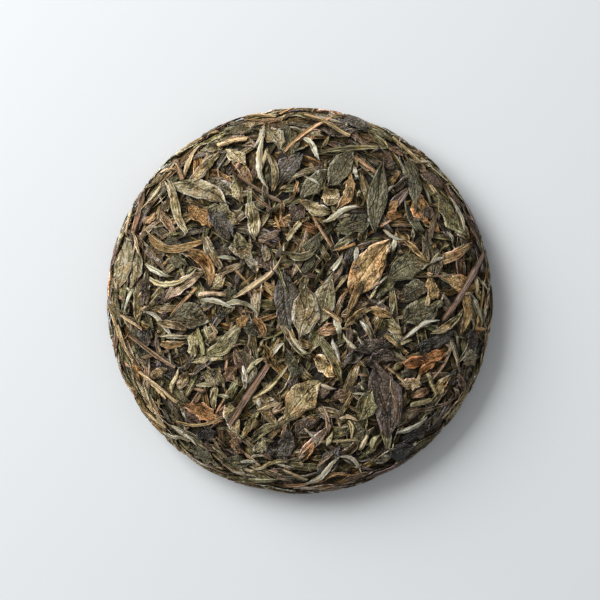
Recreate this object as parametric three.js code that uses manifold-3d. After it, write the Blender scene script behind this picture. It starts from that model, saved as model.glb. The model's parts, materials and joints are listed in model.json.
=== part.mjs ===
// White tea cake: about 350 g of withered tea leaves, buds and stems, steamed and pressed in a
// cloth bag into a round, gently domed cake. The bag's knot leaves a hollow under the middle.
// The cake is one solid: a pressed core, with the pieces that show at its surface fused on.
// Millimetres, +Z up. The origin is the centre of the plane that the underside rests on.
import * as THREE from "three";
import { mergeVertices } from "three/addons/utils/BufferGeometryUtils.js";
import Module from "manifold-3d";

const wasm = await Module();
wasm.setup();

// ---- Driving dimensions of the cake ----
const WIDEST_RADIUS = 99.6; // of the pressed surface
const CAKE_RADIUS = 100; // out to the proudest pieces
const CENTRE_HEIGHT = 26;
const WIDEST_HEIGHT = 10; // height of the widest circle above the table
const FOOT_RADIUS = 84; // where the underside lifts off the table
const DOME_POWER = 3.8; // how flat the dome is before it rolls over at the shoulder
const KNOT_RADIUS = 27; // mouth of the knot's hollow
const KNOT_FLOOR_RADIUS = 13;
const KNOT_DEPTH = 8.5;

// ---- The pressed mass between the pieces ----
const CORE_INSET = 1.6; // depth of the gaps between the pieces
const CORE_RELIEF = 0.6; // crumb-sized unevenness of the core
const CORE_SEGMENTS = 26;
const CORE_RINGS = { top: [34, 66, 88, 96], under: [98.5, 92, FOOT_RADIUS, 54, KNOT_RADIUS, 14] };
const SUNK = 3.6; // how far a piece's foot lies below the pressed surface

// ---- Where the photographed pieces lie, read off a 600 x 600 top view in pixels ----
const VIEW_CENTRE = { x: 299.8, y: 300.8 };
const VIEW_RADIUS = 192.8; // the cake's radius in that view
const MM_PER_PIXEL = CAKE_RADIUS / VIEW_RADIUS;

const SEED = 350;
const GOLDEN_ANGLE = Math.PI * (3 - Math.sqrt(5));

// A repeatable stream of random numbers from 0 to 1.
function randomStream(seed) {
  let state = seed >>> 0;
  return () => {
    state = (state + 0x6d2b79f5) >>> 0;
    let t = state;
    t = Math.imul(t ^ (t >>> 15), t | 1);
    t ^= t + Math.imul(t ^ (t >>> 7), t | 61);
    return ((t ^ (t >>> 14)) >>> 0) / 4294967296;
  };
}
const random = randomStream(SEED);
const between = (low, high) => low + (high - low) * random();

// ---- The pressed surface: a profile turned about Z ----
const domeHeight = (r) =>
  WIDEST_HEIGHT +
  (CENTRE_HEIGHT - WIDEST_HEIGHT) * Math.sqrt(Math.max(0, 1 - (r / WIDEST_RADIUS) ** DOME_POWER));

function undersideHeight(r) {
  const roll = THREE.MathUtils.clamp((r - FOOT_RADIUS) / (WIDEST_RADIUS - FOOT_RADIUS), 0, 1);
  const hollow = 1 - THREE.MathUtils.smoothstep(r, KNOT_FLOOR_RADIUS, KNOT_RADIUS);
  return WIDEST_HEIGHT * (1 - Math.sqrt(1 - roll * roll)) + KNOT_DEPTH * hollow;
}

// Points of the profile from the top's centre, over the rim, to the underside's centre.
function profilePoints(steps = 400) {
  const over = (k) => WIDEST_RADIUS * Math.sin((Math.PI / 2) * (k / steps)); // denser at the rim
  const top = Array.from({ length: steps }, (_, k) => [over(k), domeHeight(over(k))]);
  const under = Array.from({ length: steps + 1 }, (_, k) => [
    over(steps - k),
    undersideHeight(over(steps - k)),
  ]);
  return [...top, ...under];
}

// The profile by length along it: arcs[i] is the distance of points[i] from the top's centre.
const points = profilePoints();
const arcs = [0];
for (let i = 1; i < points.length; i++) {
  const [[r0, z0], [r1, z1]] = [points[i - 1], points[i]];
  arcs.push(arcs[i - 1] + Math.hypot(r1 - r0, z1 - z0));
}
const WHOLE_ARC = arcs[arcs.length - 1];

// Place and outward normal on the profile at an arc length from the top's centre.
function onProfile(arc) {
  const s = THREE.MathUtils.clamp(arc, 0, WHOLE_ARC - 1e-6);
  let i = Math.floor((s / WHOLE_ARC) * (arcs.length - 1));
  while (arcs[i] > s) i--;
  while (arcs[i + 1] <= s) i++;
  const t = (s - arcs[i]) / (arcs[i + 1] - arcs[i]);
  const [a, b] = [points[i], points[i + 1]];
  const [dr, dz] = [b[0] - a[0], b[1] - a[1]];
  const length = Math.hypot(dr, dz);
  return { r: a[0] + dr * t, z: a[1] + dz * t, nr: -dz / length, nz: dr / length };
}

// Arc length at which the dome reaches a radius, for a piece placed by its top view.
function arcAtRadius(radius) {
  const i = points.findIndex(([r]) => r >= Math.min(radius, WIDEST_RADIUS - 0.5));
  return arcs[i];
}

// Arc length at which the underside comes back to a radius.
const arcUnder = (radius) => arcs[points.findLastIndex(([r]) => r >= radius)];

// A point of the flattened skin, lifted off the surface. The skin is unrolled round the top's
// centre, or round the underside's when under is true.
function onSkin(x, y, lift, under) {
  const arc = Math.hypot(x, y);
  const angle = Math.atan2(y, x);
  const p = onProfile(under ? WHOLE_ARC - arc : arc);
  const r = Math.max(0, p.r + p.nr * lift);
  return new THREE.Vector3(r * Math.cos(angle), r * Math.sin(angle), p.z + p.nz * lift);
}

// A point of the top view, in pixels, on the flattened skin.
function fromView([px, py]) {
  const x = (px - VIEW_CENTRE.x) * MM_PER_PIXEL;
  const y = -(py - VIEW_CENTRE.y) * MM_PER_PIXEL;
  const r = Math.hypot(x, y) || 1e-6;
  const arc = arcAtRadius(r);
  return [(x / r) * arc, (y / r) * arc];
}

// ---- Solids ----
const MERGE = 1e-3; // corners closer than this are one corner

function solidOf(geometry) {
  const bare = new THREE.BufferGeometry()
    .setAttribute("position", geometry.getAttribute("position"))
    .setIndex(geometry.index);
  const merged = mergeVertices(bare, MERGE);
  return new wasm.Manifold(
    new wasm.Mesh({
      numProp: 3,
      vertProperties: merged.attributes.position.array,
      triVerts: new Uint32Array(merged.index.array),
    }),
  );
}

// The core: the pressed profile at the radii of its rings, inset by the depth of the gaps and
// roughened.
function coreGeometry() {
  const stations = [
    ...CORE_RINGS.top.map((radius) => arcAtRadius(radius)),
    ...CORE_RINGS.under.map((radius) => arcUnder(radius)),
  ];
  const profile = [0, ...stations, WHOLE_ARC].map((arc) => {
    const p = onProfile(arc);
    const onAxis = arc === 0 || arc === WHOLE_ARC;
    return new THREE.Vector2(onAxis ? 0 : p.r - p.nr * CORE_INSET, p.z - p.nz * CORE_INSET);
  }).reverse(); // a lathe turns upwards, so that its faces point out
  const core = mergeVertices(
    new THREE.LatheGeometry(profile, CORE_SEGMENTS).deleteAttribute("normal").deleteAttribute("uv"),
  );
  const place = core.getAttribute("position");
  for (let i = 0; i < place.count; i++) {
    const [x, y, z] = [place.getX(i), place.getY(i), place.getZ(i)];
    if (Math.hypot(x, z) > 1) place.setY(i, y + between(-CORE_RELIEF, CORE_RELIEF));
  }
  return core.rotateX(Math.PI / 2); // the lathe's axis, Y, becomes Z
}

// What a kind of piece is like: its crown is its cross-section above the skin, as shares of its
// width and height, and its taper is its width along its length, as shares of the full width.
// A rolled leaf is a single ridge, which its twist carries from side to side.
const KINDS = {
  leaf: {
    height: 1.1,
    crown: [[-0.48, 0.3], [0.06, 1], [0.48, 0.2]],
    taper: [0.2, 0.85, 1, 0.62, 0.1],
    twist: 0,
  },
  chip: { height: 1, crown: [[-0.44, 0.9], [0.44, 0.3]], taper: [0.4, 1, 0.3], twist: 0.05 },
  roll: { height: 1.5, crown: [[0, 1]], taper: [0.5, 1, 0.9, 0.35], twist: 0.1 },
  bud: { height: 1.5, crown: [[-0.24, 1], [0.24, 1]], taper: [0.5, 1, 0.95, 0.2], twist: 0 },
  stem: { height: 1.6, crown: [[-0.28, 1], [0.28, 1]], taper: [0.95, 1, 0.9], twist: 0 },
};

// One piece: a curved strip on the skin from tail to tip, bowed sideways by bend times its length.
function pieceGeometry({ kind, tail, tip, width, bend = 0, lift = 0, under = false }) {
  const { height, crown, taper, twist } = KINDS[kind];
  const [dx, dy] = [tip[0] - tail[0], tip[1] - tail[1]];
  const length = Math.hypot(dx, dy);
  const side = [-dy / length, dx / length];
  const positions = [];
  taper.forEach((share, k) => {
    const t = k / (taper.length - 1);
    const bow = bend * length * 4 * t * (1 - t);
    const slope = bend * 4 * (1 - 2 * t);
    const across = [side[0] - (slope * dx) / length, side[1] - (slope * dy) / length];
    const [x, y] = [tail[0] + dx * t + side[0] * bow, tail[1] + dy * t + side[1] * bow];
    const wave = height * (0.8 + 0.4 * random());
    const turn = k % 2 ? twist : -twist;
    const outline = [
      [-0.5, -SUNK],
      ...crown.map(([u, v]) => [u + turn, lift + v * wave * (0.5 + 0.5 * share)]),
      [0.5, -SUNK],
    ];
    for (const [u, v] of outline) {
      const w = u * width * share;
      const p = onSkin(x + across[0] * w, y + across[1] * w, v, under);
      positions.push(p.x, p.y, p.z);
    }
  });
  const n = crown.length + 2;
  const faces = [];
  for (let k = 0; k + 1 < taper.length; k++) {
    for (let j = 0; j < n; j++) {
      const [a, b] = [k * n + j, k * n + ((j + 1) % n)];
      faces.push(a, a + n, b, b, a + n, b + n);
    }
  }
  const last = (taper.length - 1) * n;
  for (let j = 1; j + 1 < n; j++) {
    faces.push(0, j, j + 1);
    faces.push(last, last + j + 1, last + j);
  }
  if (under) faces.reverse(); // the underside's skin is seen from its other side
  return new THREE.BufferGeometry()
    .setAttribute("position", new THREE.Float32BufferAttribute(positions, 3))
    .setIndex(faces);
}

// ---- The pieces that stand out in the top view: [kind, tail, tip, width in mm, bend] ----
const PHOTOGRAPHED = [
  // open leaves, flat or folded once
  ["leaf", [166, 184], [224, 204], 9.5, 0.04],
  ["leaf", [209, 209], [232, 242], 8, -0.05],
  ["leaf", [143, 232], [206, 245], 5.5, -0.15],
  ["leaf", [127, 234], [121, 288], 9, 0],
  ["leaf", [165, 300], [205, 270], 7.5, 0],
  ["leaf", [166, 319], [213, 316], 13, 0],
  ["leaf", [190, 361], [226, 357], 6.5, 0.05],
  ["leaf", [271, 117], [281, 152], 9.5, 0],
  ["leaf", [275, 190], [306, 150], 9, -0.08],
  ["leaf", [356, 150], [324, 188], 12, 0.1],
  ["leaf", [335, 116], [376, 132], 8.5, 0],
  ["leaf", [403, 155], [418, 212], 9, 0.05],
  ["leaf", [386, 160], [378, 222], 10, 0],
  ["leaf", [433, 192], [468, 238], 7.5, 0.05],
  ["leaf", [392, 237], [353, 302], 17, 0],
  ["leaf", [432, 258], [384, 282], 12, 0],
  ["leaf", [400, 330], [436, 303], 14, 0],
  ["leaf", [466, 340], [488, 336], 9, 0],
  ["leaf", [286, 262], [289, 334], 13, 0],
  ["leaf", [312, 284], [301, 340], 15, 0],
  ["leaf", [372, 338], [402, 358], 11, 0],
  ["leaf", [188, 405], [222, 416], 8.5, 0],
  ["leaf", [203, 422], [208, 447], 9, 0],
  ["leaf", [283, 424], [323, 379], 16, 0],
  ["leaf", [376, 360], [386, 441], 17, 0],
  ["leaf", [383, 458], [418, 442], 10, 0],
  ["leaf", [186, 202], [212, 231], 8, 0],
  ["leaf", [141, 242], [167, 266], 8, 0],
  ["leaf", [298, 202], [333, 212], 7, 0.05],
  ["leaf", [352, 168], [333, 212], 5.5, 0.1],
  ["leaf", [415, 353], [456, 330], 6.5, 0],
  ["leaf", [345, 324], [316, 334], 6.5, 0],
  ["leaf", [316, 338], [345, 386], 6, -0.06],
  ["leaf", [188, 447], [216, 463], 8, 0],
  ["leaf", [275, 459], [293, 427], 7.5, 0.05],
  ["leaf", [364, 481], [400, 462], 6.5, -0.06],
  // silvery buds
  ["bud", [144, 272], [197, 268], 3.4, -0.3],
  ["bud", [201, 300], [238, 310], 3.2, -0.1],
  ["bud", [264, 138], [269, 190], 3.8, -0.2],
  ["bud", [302, 137], [321, 161], 4.2, -0.1],
  ["bud", [322, 219], [362, 202], 3, 0.05],
  ["bud", [403, 339], [445, 319], 3.2, 0.1],
  ["bud", [233, 297], [281, 257], 3.4, -0.15],
  ["bud", [253, 398], [289, 364], 3.2, 0],
  ["bud", [162, 431], [191, 442], 3.2, 0.08],
  ["bud", [306, 484], [341, 456], 4, 0.08],
  ["bud", [337, 320], [339, 358], 4.2, 0],
  ["bud", [468, 292], [483, 323], 3.2, -0.08],
  ["bud", [143, 378], [167, 399], 3.2, 0],
  // bare stems
  ["stem", [306, 115], [349, 136], 2.8, 0],
  ["stem", [322, 151], [393, 148], 2.8, 0.06],
  ["stem", [444, 320], [483, 254], 3.3, 0],
  ["stem", [228, 424], [266, 366], 3.5, 0],
  ["stem", [195, 296], [228, 295], 3, 0],
  ["stem", [233, 170], [282, 212], 2.6, 0.06],
  ["stem", [284, 151], [335, 113], 2.4, 0],
  ["stem", [130, 335], [175, 367], 2.4, 0.04],
];

const photographedPieces = PHOTOGRAPHED.map(([kind, tail, tip, width, bend]) => ({
  kind,
  tail: fromView(tail),
  tip: fromView(tip),
  width,
  bend,
  lift: kind === "leaf" ? between(-0.5, -0.2) : between(-0.1, 0.2),
}));

// ---- The pieces laid by rule: mostly leaves that rolled up as they withered ----
const SIZES = {
  roll: { length: [16, 28], width: [4.8, 7.2] },
  chip: { length: [11, 18], width: [6, 9.5] },
};

// A piece round a point of the skin, pointing along heading.
function laidPiece(x, y, heading, { under = false, lift = [-0.5, 0.1], open = 0.3 } = {}) {
  const kind = random() < open ? "chip" : "roll";
  const size = SIZES[kind];
  const half = between(...size.length) / 2;
  const [cx, cy] = [Math.cos(heading) * half, Math.sin(heading) * half];
  return {
    kind,
    tail: [x - cx, y - cy],
    tip: [x + cx, y + cy],
    width: between(...size.width),
    bend: between(-0.16, 0.16),
    lift: between(...lift),
    under,
  };
}

// Points spread evenly over a round patch or ring of the skin, on a sunflower spiral.
function sunflower(count, inner, outer) {
  return Array.from({ length: count }, (_, k) => {
    const s = Math.sqrt(inner ** 2 + ((k + 0.5) / count) * (outer ** 2 - inner ** 2));
    return [s * Math.cos(k * GOLDEN_ANGLE), s * Math.sin(k * GOLDEN_ANGLE)];
  });
}

// How far a point is from a piece's straight line from tail to tip, less half the piece's width.
function clearOf([x, y], { tail, tip, width }) {
  const [dx, dy] = [tip[0] - tail[0], tip[1] - tail[1]];
  const t = ((x - tail[0]) * dx + (y - tail[1]) * dy) / (dx * dx + dy * dy);
  const u = THREE.MathUtils.clamp(t, 0, 1);
  return Math.hypot(x - tail[0] - dx * u, y - tail[1] - dy * u) - width / 2;
}

// Over the top they lie every way, in the room that the photographed pieces leave.
const TOP_PIECES = 122;
const TOP_ARC = arcAtRadius(0.93 * WIDEST_RADIUS); // where the dome turns over at the shoulder
const ROOM = 2.6; // clear ground that a piece's middle needs
const topPieces = sunflower(TOP_PIECES, 0, TOP_ARC - ROOM)
  .filter((p) => photographedPieces.every((piece) => clearOf(p, piece) > ROOM))
  .map(([x, y]) => laidPiece(x, y, between(0, Math.PI)));

// Round the rim they lie along the edge, in rows from the shoulder to the foot.
const RIM_ROWS = 4;
const RIM_PIECES = 13; // in each row
const FOOT_ARC = arcUnder(FOOT_RADIUS);
const rimPieces = Array.from({ length: RIM_ROWS * RIM_PIECES }, (_, k) => {
  const row = Math.floor(k / RIM_PIECES);
  const arc = THREE.MathUtils.lerp(TOP_ARC, FOOT_ARC, (row + 0.5) / RIM_ROWS);
  const angle = (2 * Math.PI * (k + row / RIM_ROWS + between(-0.25, 0.25))) / RIM_PIECES;
  const heading = angle + Math.PI / 2 + between(-0.3, 0.3);
  return laidPiece(arc * Math.cos(angle), arc * Math.sin(angle), heading, {
    lift: [-1.1, -0.8],
    open: 0,
  });
});

// Under the cake they are pressed flat on the table, round the knot's hollow and in it. A broad
// leaf gives the cake a flat spot to rest on.
const UNDER_PIECES = 32;
const UNDER_ARC = { inner: 9, outer: FOOT_RADIUS - 7 };
const FOOT_LEAF = { kind: "leaf", tail: [66, 0], tip: [38, 0], width: 14, under: true };
const underPieces = sunflower(UNDER_PIECES, UNDER_ARC.inner, UNDER_ARC.outer)
  .filter((p) => clearOf(p, FOOT_LEAF) > ROOM)
  .map(([x, y]) => laidPiece(x, y, between(0, Math.PI), { under: true, lift: [-0.9, -0.3] }));

// ---- The fused cake ----
const TABLE = [[0, 0, 1], 0];
const SLIVER = 0.15; // facets thinner than this are tidied away

function geometryOf(solid) {
  const { vertProperties, triVerts } = solid.getMesh();
  return new THREE.BufferGeometry()
    .setAttribute("position", new THREE.BufferAttribute(vertProperties, 3))
    .setIndex(new THREE.BufferAttribute(triVerts, 1));
}

const pieces = [...photographedPieces, ...topPieces, ...rimPieces, FOOT_LEAF, ...underPieces];
const fused = wasm.Manifold.union([coreGeometry(), ...pieces.map(pieceGeometry)].map(solidOf))
  .trimByPlane(...TABLE)
  .simplify(SLIVER);
// Sealed gaps and loose scraps are bodies of their own, so the largest body is the cake alone.
const largest = solidOf(geometryOf(fused))
  .decompose()
  .reduce((a, b) => (b.volume() > a.volume() ? b : a));
const { min, max } = largest.boundingBox();
const centred = largest.translate([-(min[0] + max[0]) / 2, -(min[1] + max[1]) / 2, 0]);

const cake = new THREE.Mesh(
  geometryOf(centred),
  new THREE.MeshStandardMaterial({ color: 0x61563f, roughness: 0.82, metalness: 0 }),
);
cake.geometry.computeVertexNormals();
cake.name = "tea_cake";

const whole = new THREE.Group();
whole.add(cake);
export default whole;
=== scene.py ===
import json
import math

import bmesh
import bpy
import numpy as np
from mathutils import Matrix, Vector, noise

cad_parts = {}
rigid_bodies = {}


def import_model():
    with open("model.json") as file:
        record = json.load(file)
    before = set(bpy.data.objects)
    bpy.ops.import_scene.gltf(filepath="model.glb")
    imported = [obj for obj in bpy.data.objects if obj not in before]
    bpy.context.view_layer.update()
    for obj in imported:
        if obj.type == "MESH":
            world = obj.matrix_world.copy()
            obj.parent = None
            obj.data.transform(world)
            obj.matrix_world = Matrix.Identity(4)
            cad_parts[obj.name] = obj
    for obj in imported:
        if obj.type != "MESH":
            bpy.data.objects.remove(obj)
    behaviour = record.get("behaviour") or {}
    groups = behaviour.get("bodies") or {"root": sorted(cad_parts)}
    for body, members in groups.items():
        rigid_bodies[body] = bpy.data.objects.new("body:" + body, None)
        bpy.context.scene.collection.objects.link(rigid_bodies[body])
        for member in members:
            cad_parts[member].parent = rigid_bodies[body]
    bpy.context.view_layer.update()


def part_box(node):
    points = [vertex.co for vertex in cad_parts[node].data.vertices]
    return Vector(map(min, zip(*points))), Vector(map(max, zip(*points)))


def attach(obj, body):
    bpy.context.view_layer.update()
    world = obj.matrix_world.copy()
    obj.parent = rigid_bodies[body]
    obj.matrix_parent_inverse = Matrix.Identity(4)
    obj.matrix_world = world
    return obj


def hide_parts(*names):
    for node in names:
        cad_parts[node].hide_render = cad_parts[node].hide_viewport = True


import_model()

# The camera looks straight down on the cake. The photograph is read in its own 600 x 600 pixels,
# where the cake is a true circle.
PHOTO_SIDE = 600  # pixels
CAKE_CENTRE = (299.8, 300.8)  # pixels
CAKE_RADIUS = 192.8  # pixels
OUTLINE_RADIUS = 0.0995  # metres, the pressed cake's outline seen from above
OUTLINE_HEIGHT = 0.010  # the widest circle's height above the table
CAMERA_HEIGHT = 0.96  # metres above that circle
PIXEL = OUTLINE_RADIUS / CAKE_RADIUS  # metres, at the widest circle
SENSOR = 36.0  # millimetres
NEAREST_SEEN = 0.05  # metres


def in_scene(name, data):
    """An object of the scene that holds some data."""
    thing = bpy.data.objects.new(name, data)
    bpy.context.scene.collection.objects.link(thing)
    return thing


camera = in_scene("camera", bpy.data.cameras.new("camera"))
bpy.context.scene.camera = camera
camera.data.sensor_width = SENSOR
camera.data.lens = SENSOR * CAMERA_HEIGHT / (PHOTO_SIDE * PIXEL)
camera.data.clip_start = NEAREST_SEEN
camera.location = (
    (PHOTO_SIDE / 2 - CAKE_CENTRE[0]) * PIXEL,
    (CAKE_CENTRE[1] - PHOTO_SIDE / 2) * PIXEL,
    OUTLINE_HEIGHT + CAMERA_HEIGHT,
)


# Every material and every shape that follows a rule is drawn as nodes. A Wire is one socket of a
# tree: sums and products of wires add the Math nodes that work them out.
class Wire:
    def __init__(self, tree, socket):
        self.tree = tree
        self.socket = socket

    def worked(self, operation, *terms):
        return draw(self.tree, "ShaderNodeMath", dict(enumerate(terms)), operation=operation)

    def __add__(self, other):
        return self.worked("ADD", self, other)

    def __radd__(self, other):
        return self.worked("ADD", other, self)

    def __sub__(self, other):
        return self.worked("SUBTRACT", self, other)

    def __rsub__(self, other):
        return self.worked("SUBTRACT", other, self)

    def __mul__(self, other):
        return self.worked("MULTIPLY", self, other)

    def __truediv__(self, other):
        return self.worked("DIVIDE", self, other)

    def __rtruediv__(self, other):
        return self.worked("DIVIDE", other, self)

    def __pow__(self, other):
        return self.worked("POWER", self, other)

    def __abs__(self):
        return self.worked("ABSOLUTE", self)

    def sine(self):
        return self.worked("SINE", self)

    def at_least(self, least):
        return self.worked("MAXIMUM", self, least)

    def clamped(self):
        return self.worked("MINIMUM", self, 1.0).at_least(0.0)

    def output(self, name):
        return Wire(self.tree, self.socket.node.outputs[name])


def feed(tree, socket, value):
    """Gives a socket its value, or its link to a wire."""
    if isinstance(value, Wire):
        tree.links.new(value.socket, socket)
    else:
        socket.default_value = value


def draw(tree, kind, inputs=None, **settings):
    """Adds a node to a tree and gives back its first output. Its settings come before its inputs,
    because they decide which sockets it has."""
    node = tree.nodes.new(kind)
    for name, value in settings.items():
        setattr(node, name, value)
    for name, value in (inputs or {}).items():
        feed(tree, node.inputs[name], value)
    shown = [socket for socket in node.outputs if socket.enabled]
    return Wire(tree, shown[0]) if shown else None


# The table is a plain pale surface under a large soft light at the upper left, with pale light all
# round.
TABLE_SIDE = 6.0  # metres
TABLE_COLOUR = (0.615, 0.633, 0.643, 1.0)
TABLE_ROUGHNESS = 0.6
KEY_PLACE = Vector((-1.4, 1.06, 1.12))
KEY_SIZE = 1.5
KEY_POWER = 79.0  # watts
ROUND_COLOUR = (0.97, 0.985, 1.0, 1.0)
ROUND_LIGHT = 0.42


def plain_mesh(name, corners, faces):
    mesh = bpy.data.meshes.new(name)
    mesh.from_pydata(corners, [], faces)
    return in_scene(name, mesh)


def new_material(name):
    """A material and its tree, with only the shader and the output in it."""
    material = bpy.data.materials.new(name)
    material.use_nodes = True
    return material, material.node_tree, material.node_tree.nodes["Principled BSDF"]


corners = [(x * TABLE_SIDE / 2, y * TABLE_SIDE / 2, 0) for x, y in ((-1, -1), (1, -1), (1, 1), (-1, 1))]
table = plain_mesh("table", corners, [(0, 1, 2, 3)])
material, _, shader = new_material("table")
shader.inputs["Base Color"].default_value = TABLE_COLOUR
shader.inputs["Roughness"].default_value = TABLE_ROUGHNESS
table.data.materials.append(material)
key = in_scene("key_light", bpy.data.lights.new("key_light", "AREA"))
key.data.size = KEY_SIZE
key.data.energy = KEY_POWER
key.location = KEY_PLACE
key.rotation_euler = (-KEY_PLACE).to_track_quat("-Z", "Y").to_euler()
world = bpy.data.worlds.new("studio")
bpy.context.scene.world = world
world.use_nodes = True
world.node_tree.nodes["Background"].inputs["Color"].default_value = ROUND_COLOUR
world.node_tree.nodes["Background"].inputs["Strength"].default_value = ROUND_LIGHT
bpy.context.scene.view_settings.view_transform = "Standard"

# The cake is pressed to a gently domed disc with a rolled rim and a hollow under its middle, where
# the knot of the cloth bag was. Its surface is one profile turned about Z, here in millimetres.
MM = 0.001
_, SOLID_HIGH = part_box("tea_cake")
PROUD = 1.6  # the highest pieces stand this far out of the pressed surface
RIM_PROUD = 0.45
FOOT_PROUD = 0.8
WIDEST_RADIUS = SOLID_HIGH.y / MM - RIM_PROUD
CENTRE_HEIGHT = SOLID_HIGH.z / MM - PROUD
WIDEST_HEIGHT = OUTLINE_HEIGHT / MM
FOOT_RADIUS = 84.0
DOME_POWER = 3.8
KNOT_RADIUS, KNOT_FLOOR, KNOT_DEPTH = 27.0, 13.0, 8.5
PROFILE_STEPS = 500


def profile():
    """Radius and height along the profile from the top's centre, over the rim, to the
    underside's centre."""
    over = WIDEST_RADIUS * np.sin(np.linspace(0, math.pi / 2, PROFILE_STEPS))
    dome = np.sqrt(np.clip(1 - (over / WIDEST_RADIUS) ** DOME_POWER, 0, 1))
    top = WIDEST_HEIGHT + (CENTRE_HEIGHT - WIDEST_HEIGHT) * dome
    back = over[-2::-1]
    roll = np.clip((back - FOOT_RADIUS) / (WIDEST_RADIUS - FOOT_RADIUS), 0, 1)
    share = np.clip((back - KNOT_FLOOR) / (KNOT_RADIUS - KNOT_FLOOR), 0, 1)
    hollow = KNOT_DEPTH * (1 - share * share * (3 - 2 * share))
    foot = WIDEST_HEIGHT - FOOT_PROUD
    under = FOOT_PROUD + foot * (1 - np.sqrt(1 - roll * roll)) + hollow
    return np.concatenate([over, back]), np.concatenate([top, under])


PROFILE_R, PROFILE_Z = profile()
ARC = np.concatenate([[0], np.cumsum(np.hypot(np.diff(PROFILE_R), np.diff(PROFILE_Z)))])
WHOLE_ARC = ARC[-1]
RIM_ARC = ARC[PROFILE_STEPS - 1]  # the widest circle
NORMAL_R = -np.gradient(PROFILE_Z, ARC)
NORMAL_Z = np.gradient(PROFILE_R, ARC)


def on_surface(arc, angle):
    """Points of the pressed surface and the surface's normals there."""
    r, z = np.interp(arc, ARC, PROFILE_R), np.interp(arc, ARC, PROFILE_Z)
    nr, nz = np.interp(arc, ARC, NORMAL_R), np.interp(arc, ARC, NORMAL_Z)
    size = np.hypot(nr, nz)
    cos, sin = np.cos(angle), np.sin(angle)
    points = np.stack([r * cos, r * sin, z], -1)
    return points, np.stack([nr * cos, nr * sin, nz], -1) / size[..., None]


NEAR_STEP = 0.25  # the nearest point of the profile is looked up on a grid this fine
NEAR_OUT, NEAR_BELOW, NEAR_ABOVE = 12, 12, 14  # how far the grid reaches past the profile
NEAR_R = np.arange(0, WIDEST_RADIUS + NEAR_OUT, NEAR_STEP)
NEAR_Z = np.arange(-NEAR_BELOW, CENTRE_HEIGHT + NEAR_ABOVE, NEAR_STEP)
NEAREST = np.stack([
    ((r - PROFILE_R) ** 2 + (NEAR_Z[:, None] - PROFILE_Z) ** 2).argmin(1) for r in NEAR_R
])


def to_surface(points):
    """Arc, angle and height over the surface of points near it."""
    flat = points.reshape(-1, 3)
    r, z = np.hypot(flat[:, 0], flat[:, 1]), flat[:, 2]
    row = np.clip(np.rint(r / NEAR_STEP).astype(int), 0, len(NEAR_R) - 1)
    column = np.clip(np.rint((z - NEAR_Z[0]) / NEAR_STEP).astype(int), 0, len(NEAR_Z) - 1)
    nearest = NEAREST[row, column]
    nr, nz = NORMAL_R[nearest], NORMAL_Z[nearest]
    dr, dz = r - PROFILE_R[nearest], z - PROFILE_Z[nearest]
    arc = np.clip(ARC[nearest] + dr * nz - dz * nr, 0, WHOLE_ARC)
    angle = np.arctan2(flat[:, 1], flat[:, 0])
    return [found.reshape(points.shape[:-1]) for found in (arc, angle, dr * nr + dz * nz)]


# The dry tea is weighed into the bag a handful at a time. The heap keeps the height of what has
# been laid so far, on two round maps of the surface: one unrolled from the top, one from below.
CELL = 0.5  # millimetres
MAP_REACH = {"top": RIM_ARC + 40, "under": WHOLE_ARC - RIM_ARC + 30}  # each goes on past the rim
KEPT_SHARE = 0.4  # of a piece's place; with more on kept pieces it stays under them
SEED = 350
dice = np.random.default_rng(SEED)


class Heap:
    def __init__(self):
        self.side = {name: int(2 * reach / CELL) + 3 for name, reach in MAP_REACH.items()}
        self.start = {"top": 0, "under": self.side["top"] ** 2}
        cells = self.side["top"] ** 2 + self.side["under"] ** 2
        self.spare = cells  # what falls off a map is kept here
        self.height = np.zeros(cells + 1)
        self.owner = np.full(cells + 1, -1)
        self.laid = 0
        self.kept = 0  # the first of the pieces that later ones keep off
        self.objects = []

    def cells(self, arc, angle, name):
        """Where points of the surface lie on one of the maps."""
        out = arc if name == "top" else WHOLE_ARC - arc
        side = self.side[name]
        column = np.rint(out * np.cos(angle) / CELL).astype(int) + side // 2
        row = np.rint(out * np.sin(angle) / CELL).astype(int) + side // 2
        found = self.start[name] + row * side + column
        return np.where(out < MAP_REACH[name], found, self.spare)

    def read_cells(self, arc, angle):
        return np.where(arc < RIM_ARC, self.cells(arc, angle, "top"), self.cells(arc, angle, "under"))

    def taken(self, found):
        """Whether a spot lies mostly on pieces that later ones keep off."""
        return (self.owner[found] >= self.kept).mean() > KEPT_SHARE

    def write(self, both, height, piece):
        for found in both:
            over = height > self.height[found]
            self.height[found[over]] = height[over]
            self.owner[found[over]] = piece


heap = Heap()
SHOULDER = 0.93  # of the widest radius
SHOULDER_ARC = np.interp(SHOULDER * WIDEST_RADIUS, PROFILE_R[:PROFILE_STEPS], ARC[:PROFILE_STEPS])
FOOT_ARC = WHOLE_ARC - (FOOT_RADIUS + 3.5)  # a little outside the flat of the foot
TOP, RIM, UNDER = (0, SHOULDER_ARC), (SHOULDER_ARC, FOOT_ARC), (FOOT_ARC, WHOLE_ARC)
SEAM = 4
BROAD_RIM = (SHOULDER_ARC - SEAM, FOOT_ARC + SEAM)  # its pieces lie over the seams to both faces
RIM_REACH = 14  # pieces turn to lie along the rim over this distance from it
RIM_SKEW = 0.2  # radians
SPREAD_STEPS = 400
SWINGS = (0.6, 1.4)  # how many times a middle line swings to both sides


def spread(count, near, far):
    """Points spread evenly over the part of the surface between two arcs, in a shuffled order."""
    steps = np.linspace(near, far, SPREAD_STEPS)
    rings = np.interp(steps, ARC, PROFILE_R)
    area = np.concatenate([[0], np.cumsum((rings[1:] + rings[:-1]) / 2)])
    arc = np.interp((np.arange(count) + 0.5) / count * area[-1], area, steps)
    golden = math.pi * (3 - math.sqrt(5))
    angle = np.arange(count) * golden + dice.uniform(0, 2 * math.pi)
    order = dice.permutation(count)
    return arc[order], angle[order] % (2 * math.pi)


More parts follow.
